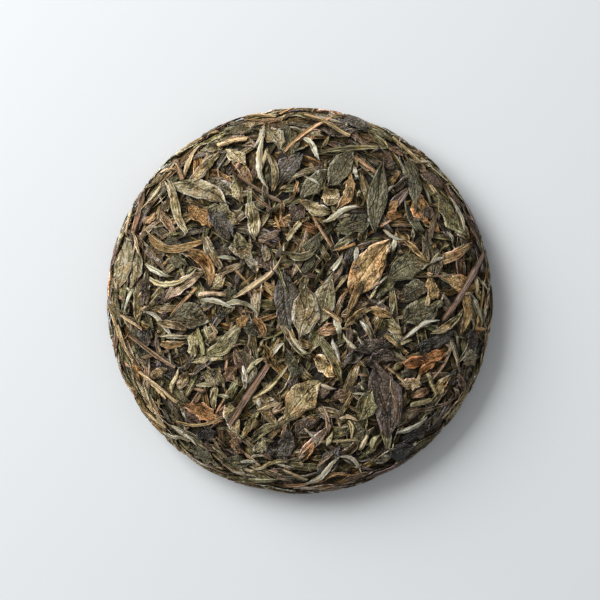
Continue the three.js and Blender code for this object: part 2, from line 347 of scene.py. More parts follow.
def headings(arc):
    """The pieces lie every way on the flat faces and along the edge round the rim."""
    rim = np.clip((arc - SHOULDER_ARC + RIM_REACH) / RIM_REACH, 0, 1)
    rim = rim * np.clip((FOOT_ARC + RIM_REACH - arc) / RIM_REACH, 0, 1)
    free = dice.uniform(-math.pi / 2, math.pi / 2, len(arc))
    return math.pi / 2 + free * (1 - rim) + dice.normal(0, RIM_SKEW, len(arc)) * rim


def every_way(arc):
    return dice.uniform(0, 2 * math.pi, len(arc))


def curves(count, stations, strength, wave):
    """How piece by piece the middle lines bend, in radians a millimetre."""
    along = np.linspace(0, 1, stations - 1)
    bend = dice.normal(0, strength, (count, 1))
    phase = dice.uniform(0, 2 * math.pi, (count, 1))
    beat = dice.uniform(*SWINGS, (count, 1))
    return bend + dice.normal(0, wave, (count, 1)) * np.sin(2 * math.pi * beat * along + phase)


def trace(arc, angle, heading, length, curve, stations):
    """Middle lines of pieces: each starts at its middle and runs both ways along the surface,
    turning by its curve. A heading of 0 runs away from the top's centre."""
    half = stations // 2
    place, normal = on_surface(arc, angle)
    round_ = np.stack([-np.sin(angle), np.cos(angle), np.zeros_like(angle)], -1)
    down = np.cross(round_, normal)
    first = down * np.cos(heading)[:, None] + round_ * np.sin(heading)[:, None]
    step = (length / (stations - 1))[:, None]
    lines, ups = [place], [normal]
    for way in (1, -1):
        p, t, n = place, first * way, normal
        line, up = [], []
        for k in range(half):
            arcs, angles, _ = to_surface(p + t * step)
            p, n = on_surface(arcs, angles)
            t = t - n * (t * n).sum(-1, keepdims=True)
            t /= np.linalg.norm(t, axis=-1, keepdims=True)
            turn = (curve[:, k + half if way > 0 else half - 1 - k] * way)[:, None] * step
            t = t * np.cos(turn) + np.cross(n, t) * np.sin(turn)
            line.append(p)
            up.append(n)
        lines = lines + line if way > 0 else line[::-1] + lines
        ups = ups + up if way > 0 else up[::-1] + ups
    return np.stack(lines, 1), np.stack(ups, 1)


def crossways(lines, ups):
    """Unit vectors across the pieces, in the surface."""
    across = np.cross(ups, np.gradient(lines, axis=1))
    return across / np.maximum(np.linalg.norm(across, axis=-1, keepdims=True), 1e-9)


def smoothed(values, times):
    for _ in range(times):
        values = np.concatenate([values[:1], (values[:-2] + 2 * values[1:-1] + values[2:]) / 4, values[-1:]])
    return values


ON_MEAN, ON_HIGHEST = 0.45, 0.55  # a narrow piece rests between these two of what lies below it
CROWNED = 0.6  # how much thinner it is at its edges than in its middle
FELT, COVERED = 5, 11  # places across it where it feels what it crosses, and that it covers
FELT_WIDTH = 0.8  # of its width
COVERED_FINER = 3  # places that it covers along itself, for each of its own
TUCK_POWER = 0.7  # the lower, the nearer to its ends it starts to tuck in


def lay_strips(lines, ups, half_widths, thick, stiff, tuck, shy):
    """Lays narrow pieces on the heap one after another. Each bends down onto what it crosses, as
    far as its stiffness lets it, and its ends tuck in. Gives the heights of their middles."""
    count, stations = half_widths.shape
    across = crossways(lines, ups)
    coarse = np.linspace(-FELT_WIDTH, FELT_WIDTH, FELT)[:, None]
    spots = lines[:, :, None] + across[:, :, None] * (half_widths[:, :, None, None] * coarse)
    arc, angle, _ = to_surface(spots)
    read = heap.read_cells(arc, angle)
    fine = np.linspace(0, stations - 1, COVERED_FINER * stations)
    low = np.minimum(fine.astype(int), stations - 2)

    def between(values):
        part = (fine - low).reshape(1, -1, *[1] * (values.ndim - 2))
        return values[:, low] * (1 - part) + values[:, low + 1] * part

    columns = np.linspace(-1, 1, COVERED)
    reach = between(half_widths)[:, :, None, None] * columns[:, None]
    spots = between(lines)[:, :, None] + between(across)[:, :, None] * reach
    arc, angle, _ = to_surface(spots)
    both = [heap.cells(arc, angle, name) for name in MAP_REACH]
    crown = 1 - CROWNED * columns**2
    ends = 1 - np.sin(np.linspace(0, math.pi, stations)) ** TUCK_POWER
    heights = np.empty((count, stations))
    for i in range(count):
        below = heap.height[read[i]]
        rest = smoothed(ON_MEAN * below.mean(1) + ON_HIGHEST * below.max(1), stiff) - tuck * ends
        top = np.interp(fine, np.arange(stations), rest)[:, None] + thick[i] * crown
        if not (shy and heap.taken(read[i])):
            heap.write([found[i] for found in both], top, heap.laid + i)
        heights[i] = rest + thick[i] / 2
    heap.laid += count
    return heights


# The leaves are olive to slate where their faces show and tan to copper where they have turned, and
# the buds are silver with down. These are the colours that they have to the eye, in 8 bits.
PALETTE = {
    "olive": (124, 116, 86), "moss": (84, 81, 51), "pale olive": (163, 151, 112),
    "silver": (206, 199, 172), "slate": (76, 70, 62), "umber": (90, 70, 54),
    "mauve": (116, 96, 78), "gold": (162, 126, 68), "rust": (156, 110, 50),
    "tan": (176, 148, 108), "copper": (126, 92, 64), "silver bud": (222, 217, 196),
    "green bud": (160, 152, 118), "tan bud": (176, 156, 120), "bright moss": (104, 102, 60),
    "fresh copper": (162, 106, 50), "dark copper": (70, 48, 36), "orange": (238, 142, 34),
    "gold olive": (138, 122, 78), "slate umber": (78, 63, 52), "near black": (50, 43, 34),
    "grey": (122, 115, 100), "salmon": (190, 150, 112), "pale gold": (206, 182, 124),
}
EYE = (0.2126, 0.7152, 0.0722)  # how light the eye finds red, green and blue
COMMON_HUE = np.array([1.23, 0.98, 0.56])
# A piece is lighter, by "fresh", than it looks in its own shade, and broad leaves shade themselves
# less. Its colour has drawn to the common hue by "likeness", and it is no lighter than "palest".
ROLLED_LIGHT = {"fresh": 4.5, "likeness": 0.40, "palest": 0.71}
FOLDED_LIGHT = {"fresh": 4.0, "likeness": 0.40, "palest": 0.64}
OPEN_LIGHT = {"fresh": 1.2, "likeness": 0.36, "palest": 0.64}
BUD_LIGHT = {"fresh": 3.95, "likeness": 0.15, "palest": 0.82}
TINTS = 6  # tints vary this many times less than lightness
# Painted light: the rim's tones are lighter on the side toward the key light and darker on the side away from
# it.
PAINTED_LIT_SIDE = math.radians(135)
PAINTED_SIDE_LIGHT = 0.4  # how much paler or darker, as painted side light and shade, as a power of e


def pick(colours, count):
    """The kind of colour of each piece, as given in a list or drawn by its share."""
    if isinstance(colours, list):
        return colours
    weights = np.array(list(colours.values()), float)
    return list(dice.choice(list(colours), count, p=weights / weights.sum()))


def tones(names, vary, fresh, likeness, palest):
    """A colour for each piece: its kind of colour in the palette, in linear light, each leaf a
    little lighter, darker, greener or redder than the next."""
    base = np.array([PALETTE[name] for name in names]) / 255
    base = np.where(base > 0.04045, ((base + 0.055) / 1.055) ** 2.4, base / 12.92) * fresh
    base = base * (1 - likeness) + (base @ EYE)[:, None] * COMMON_HUE * likeness
    light = np.exp(dice.normal(0, vary, (len(names), 1)))
    tint = np.exp(dice.normal(0, vary / TINTS, (len(names), 3)))
    tone = base * light * tint
    return tone * np.minimum(1, palest / tone.max(1, keepdims=True))


def with_painted_side_light(tone, lines):
    """Painted light and shade: round the rim the tea is painted paler toward the key light at the upper left
    and darker toward the shaded lower right.
    """
    x, y = lines[:, lines.shape[1] // 2, :2].T
    toward = np.cos(np.arctan2(y, x) - PAINTED_LIT_SIDE)
    return tone * np.exp(PAINTED_SIDE_LIGHT * toward * (np.hypot(x, y) / WIDEST_RADIUS) ** 4)[:, None]


# Most of the tea is leaves that rolled up lengthwise as they withered, now flat twisted strips.
# Each is one section, a flattened tube with deep folds, drawn along its middle line and twisted.
FOLD_START = 1.1  # radians round the section to its first fold
STRIP_INPUTS = {
    "Sides": ("NodeSocketInt", 12),
    "Folds": ("NodeSocketFloat", 3.0),
    "Fold Depth": ("NodeSocketFloat", 0.7),
    "Crumple": ("NodeSocketFloat", 0.34),
    "Crumple Size": ("NodeSocketFloat", 0.004),
    "Material": ("NodeSocketMaterial", None),
}
FIELDS = {"FLOAT": "value", "INT": "value", "FLOAT_VECTOR": "vector", "FLOAT_COLOR": "color"}
GUIDES = {  # what a guide line carries only until its strip is drawn
    "spine": "FLOAT_VECTOR", "up": "FLOAT_VECTOR", "half_width": "FLOAT", "flat": "FLOAT", "tilt_by": "FLOAT",
}


def own(mesh, name, kind, values):
    """Stores a value for each point of a mesh, under a name."""
    attribute = mesh.attributes.new(name, kind, "POINT")
    attribute.data.foreach_set(FIELDS[kind], np.ascontiguousarray(values).ravel())


def own_by_piece(mesh, tone, points):
    """Stores each piece's tone, a number of its own and when it was laid, for all its points."""
    count = len(tone)
    each = lambda values: np.repeat(values, points, axis=0)
    own(mesh, "tone", "FLOAT_COLOR", each(np.hstack([tone, np.ones((count, 1))])))
    own(mesh, "own_number", "FLOAT", each(dice.uniform(0, 100, count)))
    own(mesh, "laid", "INT", each(np.arange(heap.laid - count, heap.laid).astype(np.int32)))


def named(tree, name):
    return draw(tree, "GeometryNodeInputNamedAttribute", {"Name": name}, data_type=GUIDES[name])


def store(tree, geometry, kind, name, value):
    inputs = {"Geometry": geometry, "Name": name, "Value": value}
    return draw(tree, "GeometryNodeStoreNamedAttribute", inputs, data_type=kind, domain="POINT")


def vector_math(tree, operation, first, second):
    return draw(tree, "ShaderNodeVectorMath", {0: first, 1: second}, operation=operation)


def scaled(tree, vector, factor):
    return draw(tree, "ShaderNodeVectorMath", {0: vector, "Scale": factor}, operation="SCALE")


def moved(tree, geometry, offset):
    return draw(tree, "GeometryNodeSetPosition", {"Geometry": geometry, "Offset": offset})


def fold_at(turn, folds):
    """How deep in a fold a place round the section lies, from 0 to 1."""
    return ((turn * folds * 2 * math.pi + FOLD_START).sine() * 0.5 + 0.5) ** 3.0


def strip_tree():
    """A tree that draws a folded section along each guide line, then flattens and crumples it."""
    tree = bpy.data.node_groups.new("strips", "GeometryNodeTree")
    tree.interface.new_socket("Geometry", in_out="INPUT", socket_type="NodeSocketGeometry")
    for name, (kind, value) in STRIP_INPUTS.items():
        socket = tree.interface.new_socket(name, in_out="INPUT", socket_type=kind)
        if value is not None:
            socket.default_value = value
    tree.interface.new_socket("Geometry", in_out="OUTPUT", socket_type="NodeSocketGeometry")
    given = draw(tree, "NodeGroupInput")
    place = draw(tree, "GeometryNodeInputPosition")
    up = named(tree, "up")
    width = named(tree, "half_width")

    lines = store(tree, given.output("Geometry"), "FLOAT_VECTOR", "spine", place)
    lines = draw(tree, "GeometryNodeMeshToCurve", {"Mesh": lines})
    lines = draw(tree, "GeometryNodeSetCurveNormal", {"Curve": lines, "Normal": up}, mode="FREE")
    lines = draw(tree, "GeometryNodeSetCurveTilt", {"Curve": lines, "Tilt": named(tree, "tilt_by")})

    circle = {"Resolution": given.output("Sides"), "Radius": 1.0}
    section = draw(tree, "GeometryNodeCurvePrimitiveCircle", circle)
    turn = draw(tree, "GeometryNodeSplineParameter")
    section = store(tree, section, "FLOAT", "turn", turn)
    inward = 0.0 - fold_at(turn, given.output("Folds")) * given.output("Fold Depth")
    section = moved(tree, section, scaled(tree, place, inward))

    drawn = {"Curve": lines, "Profile Curve": section, "Scale": width, "Fill Caps": True}
    body = draw(tree, "GeometryNodeCurveToMesh", drawn)
    out = vector_math(tree, "SUBTRACT", place, named(tree, "spine"))
    lift = vector_math(tree, "DOT_PRODUCT", out, up).output("Value")
    aside = vector_math(tree, "SUBTRACT", out, scaled(tree, up, lift))
    aside = draw(tree, "ShaderNodeVectorMath", {0: aside}, operation="LENGTH").output("Value")
    body = store(tree, body, "FLOAT", "outer", aside / width)
    body = moved(tree, body, scaled(tree, up, lift * (named(tree, "flat") - 1.0)))

    rough = {"Vector": place, "Scale": 1.0 / given.output("Crumple Size"), "Detail": 1.0}
    rough = draw(tree, "ShaderNodeTexNoise", rough, noise_dimensions="3D").output("Color")
    push = vector_math(tree, "SUBTRACT", rough, (0.5, 0.5, 0.5))
    body = moved(tree, body, scaled(tree, push, width * given.output("Crumple")))
    body = draw(tree, "GeometryNodeSetShadeSmooth", {"Geometry": body, "Shade Smooth": True})
    body = draw(tree, "GeometryNodeRealizeInstances", {"Geometry": body})
    body = draw(tree, "GeometryNodeSetMaterial", {"Geometry": body, "Material": given.output("Material")})
    draw(tree, "NodeGroupOutput", {"Geometry": body})
    return tree


STRIPS = strip_tree()


def realized(piece, tree, inputs):
    """Runs a tree on a piece and keeps the result as its plain mesh."""
    modifier = piece.modifiers.new("made", "NODES")
    modifier.node_group = tree
    for socket in tree.interface.items_tree:
        if socket.in_out == "INPUT" and socket.name in inputs:
            modifier[socket.identifier] = inputs[socket.name]
    depsgraph = bpy.context.evaluated_depsgraph_get()
    mesh = bpy.data.meshes.new_from_object(
        piece.evaluated_get(depsgraph), preserve_all_data_layers=True, depsgraph=depsgraph
    )
    piece.modifiers.remove(modifier)
    piece.data = mesh
    for name in GUIDES:
        mesh.attributes.remove(mesh.attributes[name])


def of_tea(piece):
    """The piece is part of the pressed cake: it rides on its body and stands for its solid."""
    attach(piece, "root")
    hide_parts("tea_cake")


NARROWEST, WIDEST = 0.6, 1.4  # of its taper's width, as far as a piece is uneven


def tapered(count, stations, shares, uneven):
    """Half-widths along pieces, as shares of the widest, each piece a little uneven."""
    along = np.linspace(0, 1, stations)
    shape = np.interp(along, np.linspace(0, 1, len(shares)), shares)
    return shape * (1 + dice.normal(0, uneven, (count, stations))).clip(NARROWEST, WIDEST)


def build_strips(
    name, lines, ups, widths, colours, vary, light, twist, thin, taper, uneven, material, inputs,
    stiff=2, tuck=0.5, shy=False,
):
    """Strips of one kind: laid on the heap, then drawn by the tree of strips. Each has a twist and a
    turn of its own, and "thin" is how thick it is as a share of its width."""
    count, stations = lines.shape[:2]
    twists = np.stack([dice.normal(0, twist, count), dice.uniform(0, 2 * math.pi, count)], -1)
    thick = widths * dice.uniform(*thin, count)
    half_widths = widths[:, None] / 2 * tapered(count, stations, taper, uneven)
    # The tones carry painted side light and shade round the rim.
    tone = with_painted_side_light(tones(pick(colours, count), vary, **light), lines)
    heights = lay_strips(lines, ups, half_widths, thick, stiff, tuck, shy)

    mesh = bpy.data.meshes.new(name)
    points = (lines + ups * heights[..., None]) * MM
    first = (np.arange(count) * stations)[:, None] + np.arange(stations - 1)
    edges = np.stack([first, first + 1], -1)
    mesh.vertices.add(count * stations)
    mesh.vertices.foreach_set("co", points.ravel())
    mesh.edges.add(first.size)
    mesh.edges.foreach_set("vertices", edges.ravel())
    guides = {
        "up": ups,
        "half_width": half_widths * MM,
        "flat": np.repeat(thick / widths, stations),
        "tilt_by": twists[:, :1] * np.linspace(-0.5, 0.5, stations) + twists[:, 1:],
    }
    for guide, values in guides.items():
        own(mesh, guide, GUIDES[guide], values)
    own(mesh, "along", "FLOAT", np.tile(np.linspace(0, 1, stations), count))
    own_by_piece(mesh, tone, stations)
    piece = in_scene(name, mesh)
    realized(piece, STRIPS, {"Material": material, **inputs})
    heap.objects.append(piece)
    of_tea(piece)


def given_value(tree, name):
    """What a point of the surface carries under a name."""
    return draw(tree, "ShaderNodeAttribute", attribute_name=name).output("Fac")


def joined(tree, x, y, z):
    return draw(tree, "ShaderNodeCombineXYZ", {"X": x, "Y": y, "Z": z})


def noise_of(tree, vector, scale, detail=3.0, roughness=0.55):
    inputs = {"Vector": vector, "Scale": scale, "Detail": detail, "Roughness": roughness}
    return draw(tree, "ShaderNodeTexNoise", inputs)


HUSH = 4.0  # noise keeps close to its mean, and this spreads it out


def blotchy(tree, vector, scale, detail=3.0, roughness=0.55):
    """Noise spread out round 0."""
    return (noise_of(tree, vector, scale, detail, roughness) - 0.5) * HUSH


def crest(value, place, sharp):
    """1 where a value passes a place, and falling to 0 on both sides of it."""
    return (1.0 - abs(value - place) * sharp).clamped()


def blend(tree, share, first, second, how="MIX"):
    """Two colours mixed by a share."""
    inputs = {"Factor": share, 6: first, 7: second}
    return draw(tree, "ShaderNodeMix", inputs, data_type="RGBA", blend_type=how)


GREEN_FALLS, BLUE_FALLS = 1.08, 1.6  # in the shade, the powers by which green and blue fall off


def paint(tree, shader, tone, shade, tints, height, depth, roughness):
    """A tone where it is shaded turns browner as it darkens. Over it lie tints by their shares, and
    the surface is bumped to a depth in metres."""
    shades = joined(tree, shade, shade**GREEN_FALLS, shade**BLUE_FALLS)
    plain = colour = blend(tree, 1.0, tone, shades, "MULTIPLY")
    for share, tint in tints:
        colour = blend(tree, share.clamped(), colour, blend(tree, 1.0, plain, tint, "MULTIPLY"))
    bumped = draw(tree, "ShaderNodeBump", {"Strength": 1.0, "Distance": depth, "Height": height})
    for name, value in {"Base Color": colour, "Roughness": roughness, "Normal": bumped}.items():
        feed(tree, shader.inputs[name], value)


DUST_AND_SHADE_DARK = 0.7  # how much of its light a piece loses where it lies deep, as painted shade with some dust
LEAF_BROWNER, LEAF_PALER = (0.92, 0.72, 0.50, 1.0), (1.32, 1.31, 1.22, 1.0)
LEAF_BUMP = 0.0012  # metres
BRIM = 0.66  # of the half-width, where a flattened strip catches the light
OTHER = 31.0  # added to a piece's number for a second noise of its own
LEAF_SPOTS, LEAF_PATCHES = 600.0, 150.0  # to a metre
LEAF_DARKEST = 0.08  # of its tone
DOWN_ROUGHNESS = 0.4
BLOTCHED = 0.9  # how quickly a leaf goes over from one tint to the next


def blotches(patches, browner, paler, faded=BLOTCHED):
    """Brown where the patches are high, and paler where they are low."""
    return (patches * BLOTCHED + 0.1, browner), (0.0 - patches * faded - 0.1, paler)


def leaf_material(name, lines, streaked, mottled, folds, creased, roughness, sheen=0.0):
    """Dry leaf: each piece's own tone, streaked along its length and blotched, with painted highlights on its
    ridges and brim and painted shade in its creases and folds, at its sides and, with some dust, where it
    lies deep; dull with a soft gleam on its ridges."""
    material, tree, shader = new_material(name)
    values = [given_value(tree, value) for value in ("turn", "along", "own_number", "outer", "dust_and_shade")]
    turn, along, number, outer, dust_and_shade = values
    place = draw(tree, "ShaderNodeTexCoord").output("Object")
    streaks = blotchy(tree, joined(tree, turn * lines, along * 1.6, number), 1.0, 5.0, 0.65)
    wrinkles = noise_of(tree, joined(tree, turn * lines * 0.8, along, number + OTHER), 1.0, 2.0)
    creases = crest(wrinkles, 0.5, 26.0)
    ridges = crest(wrinkles, 0.56, 30.0)
    spots = blotchy(tree, place, LEAF_SPOTS, 4.0, 0.7)
    patches = blotchy(tree, place, LEAF_PATCHES)
    # Painted highlights on the ridges and painted shade in the creases and inside the folds, over the bumps.
    painted_crease_light = ridges * 1.2 - creases - fold_at(turn, folds) * 0.6
    shade = 1.0 + streaks * streaked + spots * mottled + painted_crease_light * creased
    # Painted highlight along the brim, where a strip catches the light, and painted shade at its sides, where
    # it curls under beside other pieces.
    shade = (shade + crest(outer, BRIM, 5.0) * 0.45 - outer**4.0).at_least(LEAF_DARKEST)
    tints = blotches(patches, LEAF_BROWNER, LEAF_PALER)
    height = streaks * 0.5 + spots * 0.2 - creases * 0.7 + ridges * 0.3
    tone = draw(tree, "ShaderNodeAttribute", attribute_name="tone").output("Color")
    # Painted shade, with some dust, where the piece lies deep among the others.
    shade = shade * (1.0 - dust_and_shade * DUST_AND_SHADE_DARK)
    paint(tree, shader, tone, shade, tints, height, LEAF_BUMP, streaks * 0.1 + roughness)
    shader.inputs["Sheen Weight"].default_value = sheen
    shader.inputs["Sheen Roughness"].default_value = DOWN_ROUGHNESS
    return material


ROLLED_TAPER = (0.35, 0.8, 1.0, 1.0, 0.85, 0.6, 0.25)
ROLLED_LEAF = {
    "vary": 0.28, "light": ROLLED_LIGHT, "twist": 2.4, "thin": (0.3, 0.5), "taper": ROLLED_TAPER,
    "uneven": 0.12, "material": leaf_material("rolled_leaf", 13.0, 0.95, 0.45, 3.0, 1.2, 0.44),
}
ROLLED_SHARES = {
    "olive": 20, "slate": 13, "umber": 12, "moss": 12, "tan": 16,
    "mauve": 8, "pale olive": 12, "silver": 4, "rust": 4, "gold": 3,
}
RIM_SHARES = {
    "tan": 20, "olive": 18, "copper": 8, "umber": 14, "gold": 5, "pale olive": 12, "slate": 13, "mauve": 10,
}


def rolled_leaves(name, count, part, length, width, stations, sides, colours=ROLLED_SHARES):
    arc, angle = spread(count, *part)
    lengths = dice.uniform(*length, count)
    curve = curves(count, stations, 0.03, 0.05)
    lines, ups = trace(arc, angle, headings(arc), lengths, curve, stations)
    widths = dice.uniform(*width, count)
    build_strips(name, lines, ups, widths, colours, inputs={"Sides": sides}, **ROLLED_LEAF)


rolled_leaves("rolled_leaves_beneath_top", 560, TOP, (18, 30), (3.0, 5.5), 9, 7)
rolled_leaves("rolled_leaves_beneath_rim", 420, RIM, (18, 32), (2.6, 4.6), 9, 7)
rolled_leaves("rolled_leaves_beneath_under", 350, UNDER, (18, 30), (3.0, 5.5), 9, 7)

# Leaves that stayed open are thin wavy sheets pressed down onto what lies under them. They are
# pointed at both ends where they are whole, with a midrib, and ragged where they have torn.
SHEET = 0.35  # millimetres thick
SHEET_EDGE = 0.6  # its edges are this much thinner
LEAN = 0.3  # a leaf's halves differ by up to this share of its half-width
FINER = 3  # a sheet feels what lies under it this many times finer than its own grid
SPANNING = 0.8  # how far a sheet follows what lies under it, and not only its mean height
PLEATED, RIPPLED = 0.7, 0.3  # how its waves are made up
BEATS = (0.5, 1.6)  # how much longer or shorter they are from leaf to leaf
CURL, CURL_VARY = 0.3, 0.8  # how far its edges stand up, as a share of its waves
STIFF_ALONG, STIFF_ACROSS = 4, 2
OPEN_TAPER = (0.06, 0.5, 0.82, 0.97, 1.0, 0.86, 0.6, 0.05)
TORN_TAPER = (0.12, 0.6, 1.0, 0.9, 1.0, 0.8, 0.45, 0.08)
CUT_TAPER = (0.6, 0.85, 1.0, 0.92, 1.0, 0.92, 0.8, 0.5)  # a torn leaf lies between these two
DEEPEST_TEAR = 0.22  # of a leaf's length, at either end
SLOW, TORN, QUICK = 6, 2, 1  # how often the noise of its edges is smoothed
EDGE_LEAST, EDGE_MOST = 0.45, 1.5  # of its taper's width


def leaf_grid(lines, ups, widths, tapers, ragged, columns):
    """Points of flat leaves in rows across their middle lines. Each leaf's outline lies between two
    tapers, its edges are uneven and its ends are torn."""
    count, stations = lines.shape[:2]
    along = np.linspace(0, 1, stations)
    column = np.linspace(-1, 1, columns)
    pointed, cut = [np.interp(along, np.linspace(0, 1, len(taper)), taper) for taper in tapers]
    bluntness = dice.uniform(0, 1, (2, count, 1))
    bluntness = bluntness[0] * (1 - along) + bluntness[1] * along
    shape = (pointed * (1 - bluntness) + cut * bluntness)[:, None]
    slow = smoothed(dice.normal(0, 2 * ragged, (stations, count, 2)), SLOW)
    lean = dice.uniform(-LEAN, LEAN, (count, 1)) * (1, -1)
    quick = smoothed(dice.normal(0, ragged / 3, slow.shape), QUICK)
    edge = (1 + slow + quick + lean).transpose(1, 2, 0)
    half = (widths[:, None, None] / 2 * shape * edge.clip(EDGE_LEAST, EDGE_MOST)).transpose(0, 2, 1)
    reach = np.where(column < 0, half[..., :1], half[..., 1:]) * column
    tears = smoothed(dice.normal(0, 1.5 * ragged, (columns, count, 2)), TORN)
    tears = abs(tears).clip(0, DEEPEST_TEAR)
    tears = tears[..., :1] * (1 - along) ** 3 - tears[..., 1:] * along**3
    run = (stations - 1) * np.gradient(lines, axis=1)
    spots = lines[:, :, None] + crossways(lines, ups)[:, :, None] * reach[..., None]
    return spots + run[:, :, None] * tears.transpose(1, 2, 0)[..., None]


def highest_near(fine, reach=1):
    """The highest of the finer heights round each point of a coarser grid."""
    for _ in range(2 * reach):
        padded = np.concatenate([fine[:1], fine, fine[-1:]])
        fine = np.maximum(np.maximum(padded[:-2], padded[1:-1]), padded[2:]).T
    return fine[::FINER, ::FINER]


def finer(count):
    """What each place of a finer row takes from the places of a row."""
    places = np.linspace(0, count - 1, FINER * (count - 1) + 1)
    return np.maximum(0, 1 - abs(places[:, None] - np.arange(count)))


def lay_sheets(spots, wave, pleat, bridge):
    """Lays leaves on the heap one after another and gives the heights of their points. They bridge
    what they lie on the more, the stiffer they are."""
    count, stations, columns = spots.shape[:3]
    along = np.linspace(0, 1, stations)[:, None]
    column = np.linspace(-1, 1, columns)
    along_mix, across_mix = finer(stations), finer(columns)
    step = np.einsum("as,nscx,bc->nabx", along_mix, spots, across_mix, optimize=True)
    arc, angle, _ = to_surface(step)
    read = heap.read_cells(arc, angle)
    both = [heap.cells(arc, angle, side) for side in MAP_REACH]
    heights = np.empty((count, stations, columns))
    for i in range(count):
        below = highest_near(heap.height[read[i]])
        rest = smoothed(highest_near(heap.height[read[i]], bridge), STIFF_ALONG)
        rest = smoothed(rest.T, STIFF_ACROSS).T
        phase = dice.uniform(0, 2 * math.pi, 4)
        beat = dice.uniform(*BEATS, 4)
        pleats = np.sin(column * beat[0] * pleat + along * beat[1] * 3 + phase[0])
        ripples = np.sin(along * beat[2] * 16 + column * beat[3] * 3 + phase[1])
        curl = abs(column) ** 3 * dice.normal(CURL, CURL_VARY)
        rest = np.maximum(SPANNING * rest + 0.2 * below.mean(), below)
        rest = rest + SHEET + wave * (PLEATED * pleats + RIPPLED * ripples + curl + 0.8)
        heap.write([found[i] for found in both], along_mix @ rest @ across_mix.T, heap.laid + i)
        heights[i] = rest
    heap.laid += count
    return heights


def thin_faces(stations, columns):
    """The faces of one leaf: its upper grid, its lower grid and the rim between them."""
    grid = np.arange(2 * stations * columns).reshape(2 * stations, columns)
    upper, lower = grid[:stations], grid[stations:]
    face = lambda g: np.stack([g[:-1, :-1], g[1:, :-1], g[1:, 1:], g[:-1, 1:]], -1).reshape(-1, 4)
    rim = lambda row, back: np.stack([row[:-1], back[:-1], back[1:], row[1:]], -1)
    return np.concatenate([
        face(upper),
        face(lower)[:, ::-1],
        rim(upper[:, 0], lower[:, 0]),
        rim(upper[:, -1], lower[:, -1])[:, ::-1],
        rim(upper[0], lower[0])[:, ::-1],
        rim(upper[-1], lower[-1]),
    ])


def sheets(
    name, lines, ups, widths, colours, columns, vary, light, tapers, ragged, wave, pleat, bridge, material
):
    """Leaves of one kind, laid one after another as thin solids."""
    count, stations = lines.shape[:2]
    tone = tones(pick(colours, count), vary, **light)
    spots = leaf_grid(lines, ups, widths, tapers, ragged, columns)
    arc, angle, _ = to_surface(spots)
    places, normals = on_surface(arc, angle)
    heights = lay_sheets(spots, wave, pleat, bridge)
    column = np.linspace(-1, 1, columns)
    top = places + normals * heights[..., None]
    under = top - normals * (SHEET * (1 - SHEET_EDGE * column**4))[:, None]
    points = np.concatenate([top, under], 1) * MM  # the underside's rows follow the top's
    size = 2 * stations * columns
    faces = (np.arange(count)[:, None, None] * size + thin_faces(stations, columns)).reshape(-1, 4)
    mesh = bpy.data.meshes.new(name)
    mesh.vertices.add(count * size)
    mesh.vertices.foreach_set("co", points.ravel())
    mesh.loops.add(faces.size)
    mesh.loops.foreach_set("vertex_index", faces.ravel())
    mesh.polygons.add(len(faces))
    mesh.polygons.foreach_set("loop_start", np.arange(0, faces.size, 4))
    mesh.polygons.foreach_set("use_smooth", np.ones(len(faces), bool))
    mesh.update(calc_edges=True)
    own(mesh, "along", "FLOAT", np.tile(np.repeat(np.linspace(0, 1, stations), columns), 2 * count))
    own(mesh, "turn", "FLOAT", np.tile(column, 2 * stations * count))
    # The tones carry painted side light and shade round the rim.
    own_by_piece(mesh, with_painted_side_light(tone, lines), size)
    mesh.materials.append(material)
    piece = in_scene(name, mesh)
    heap.objects.append(piece)
    of_tea(piece)


OPEN_BROWNER, OPEN_PALER = (1.0, 0.72, 0.46, 1.0), (1.38, 1.38, 1.12, 1.0)
OPEN_BUMP = 0.0013  # metres
OPEN_SPOTS, NET, OPEN_PATCHES, STAINS = 500.0, 350.0, 130.0, 120.0  # to a metre
OPEN_DARKEST = 0.12  # of its tone
OPEN_FADED = 0.8
VEINS = 52.0  # radians of side veins along a leaf


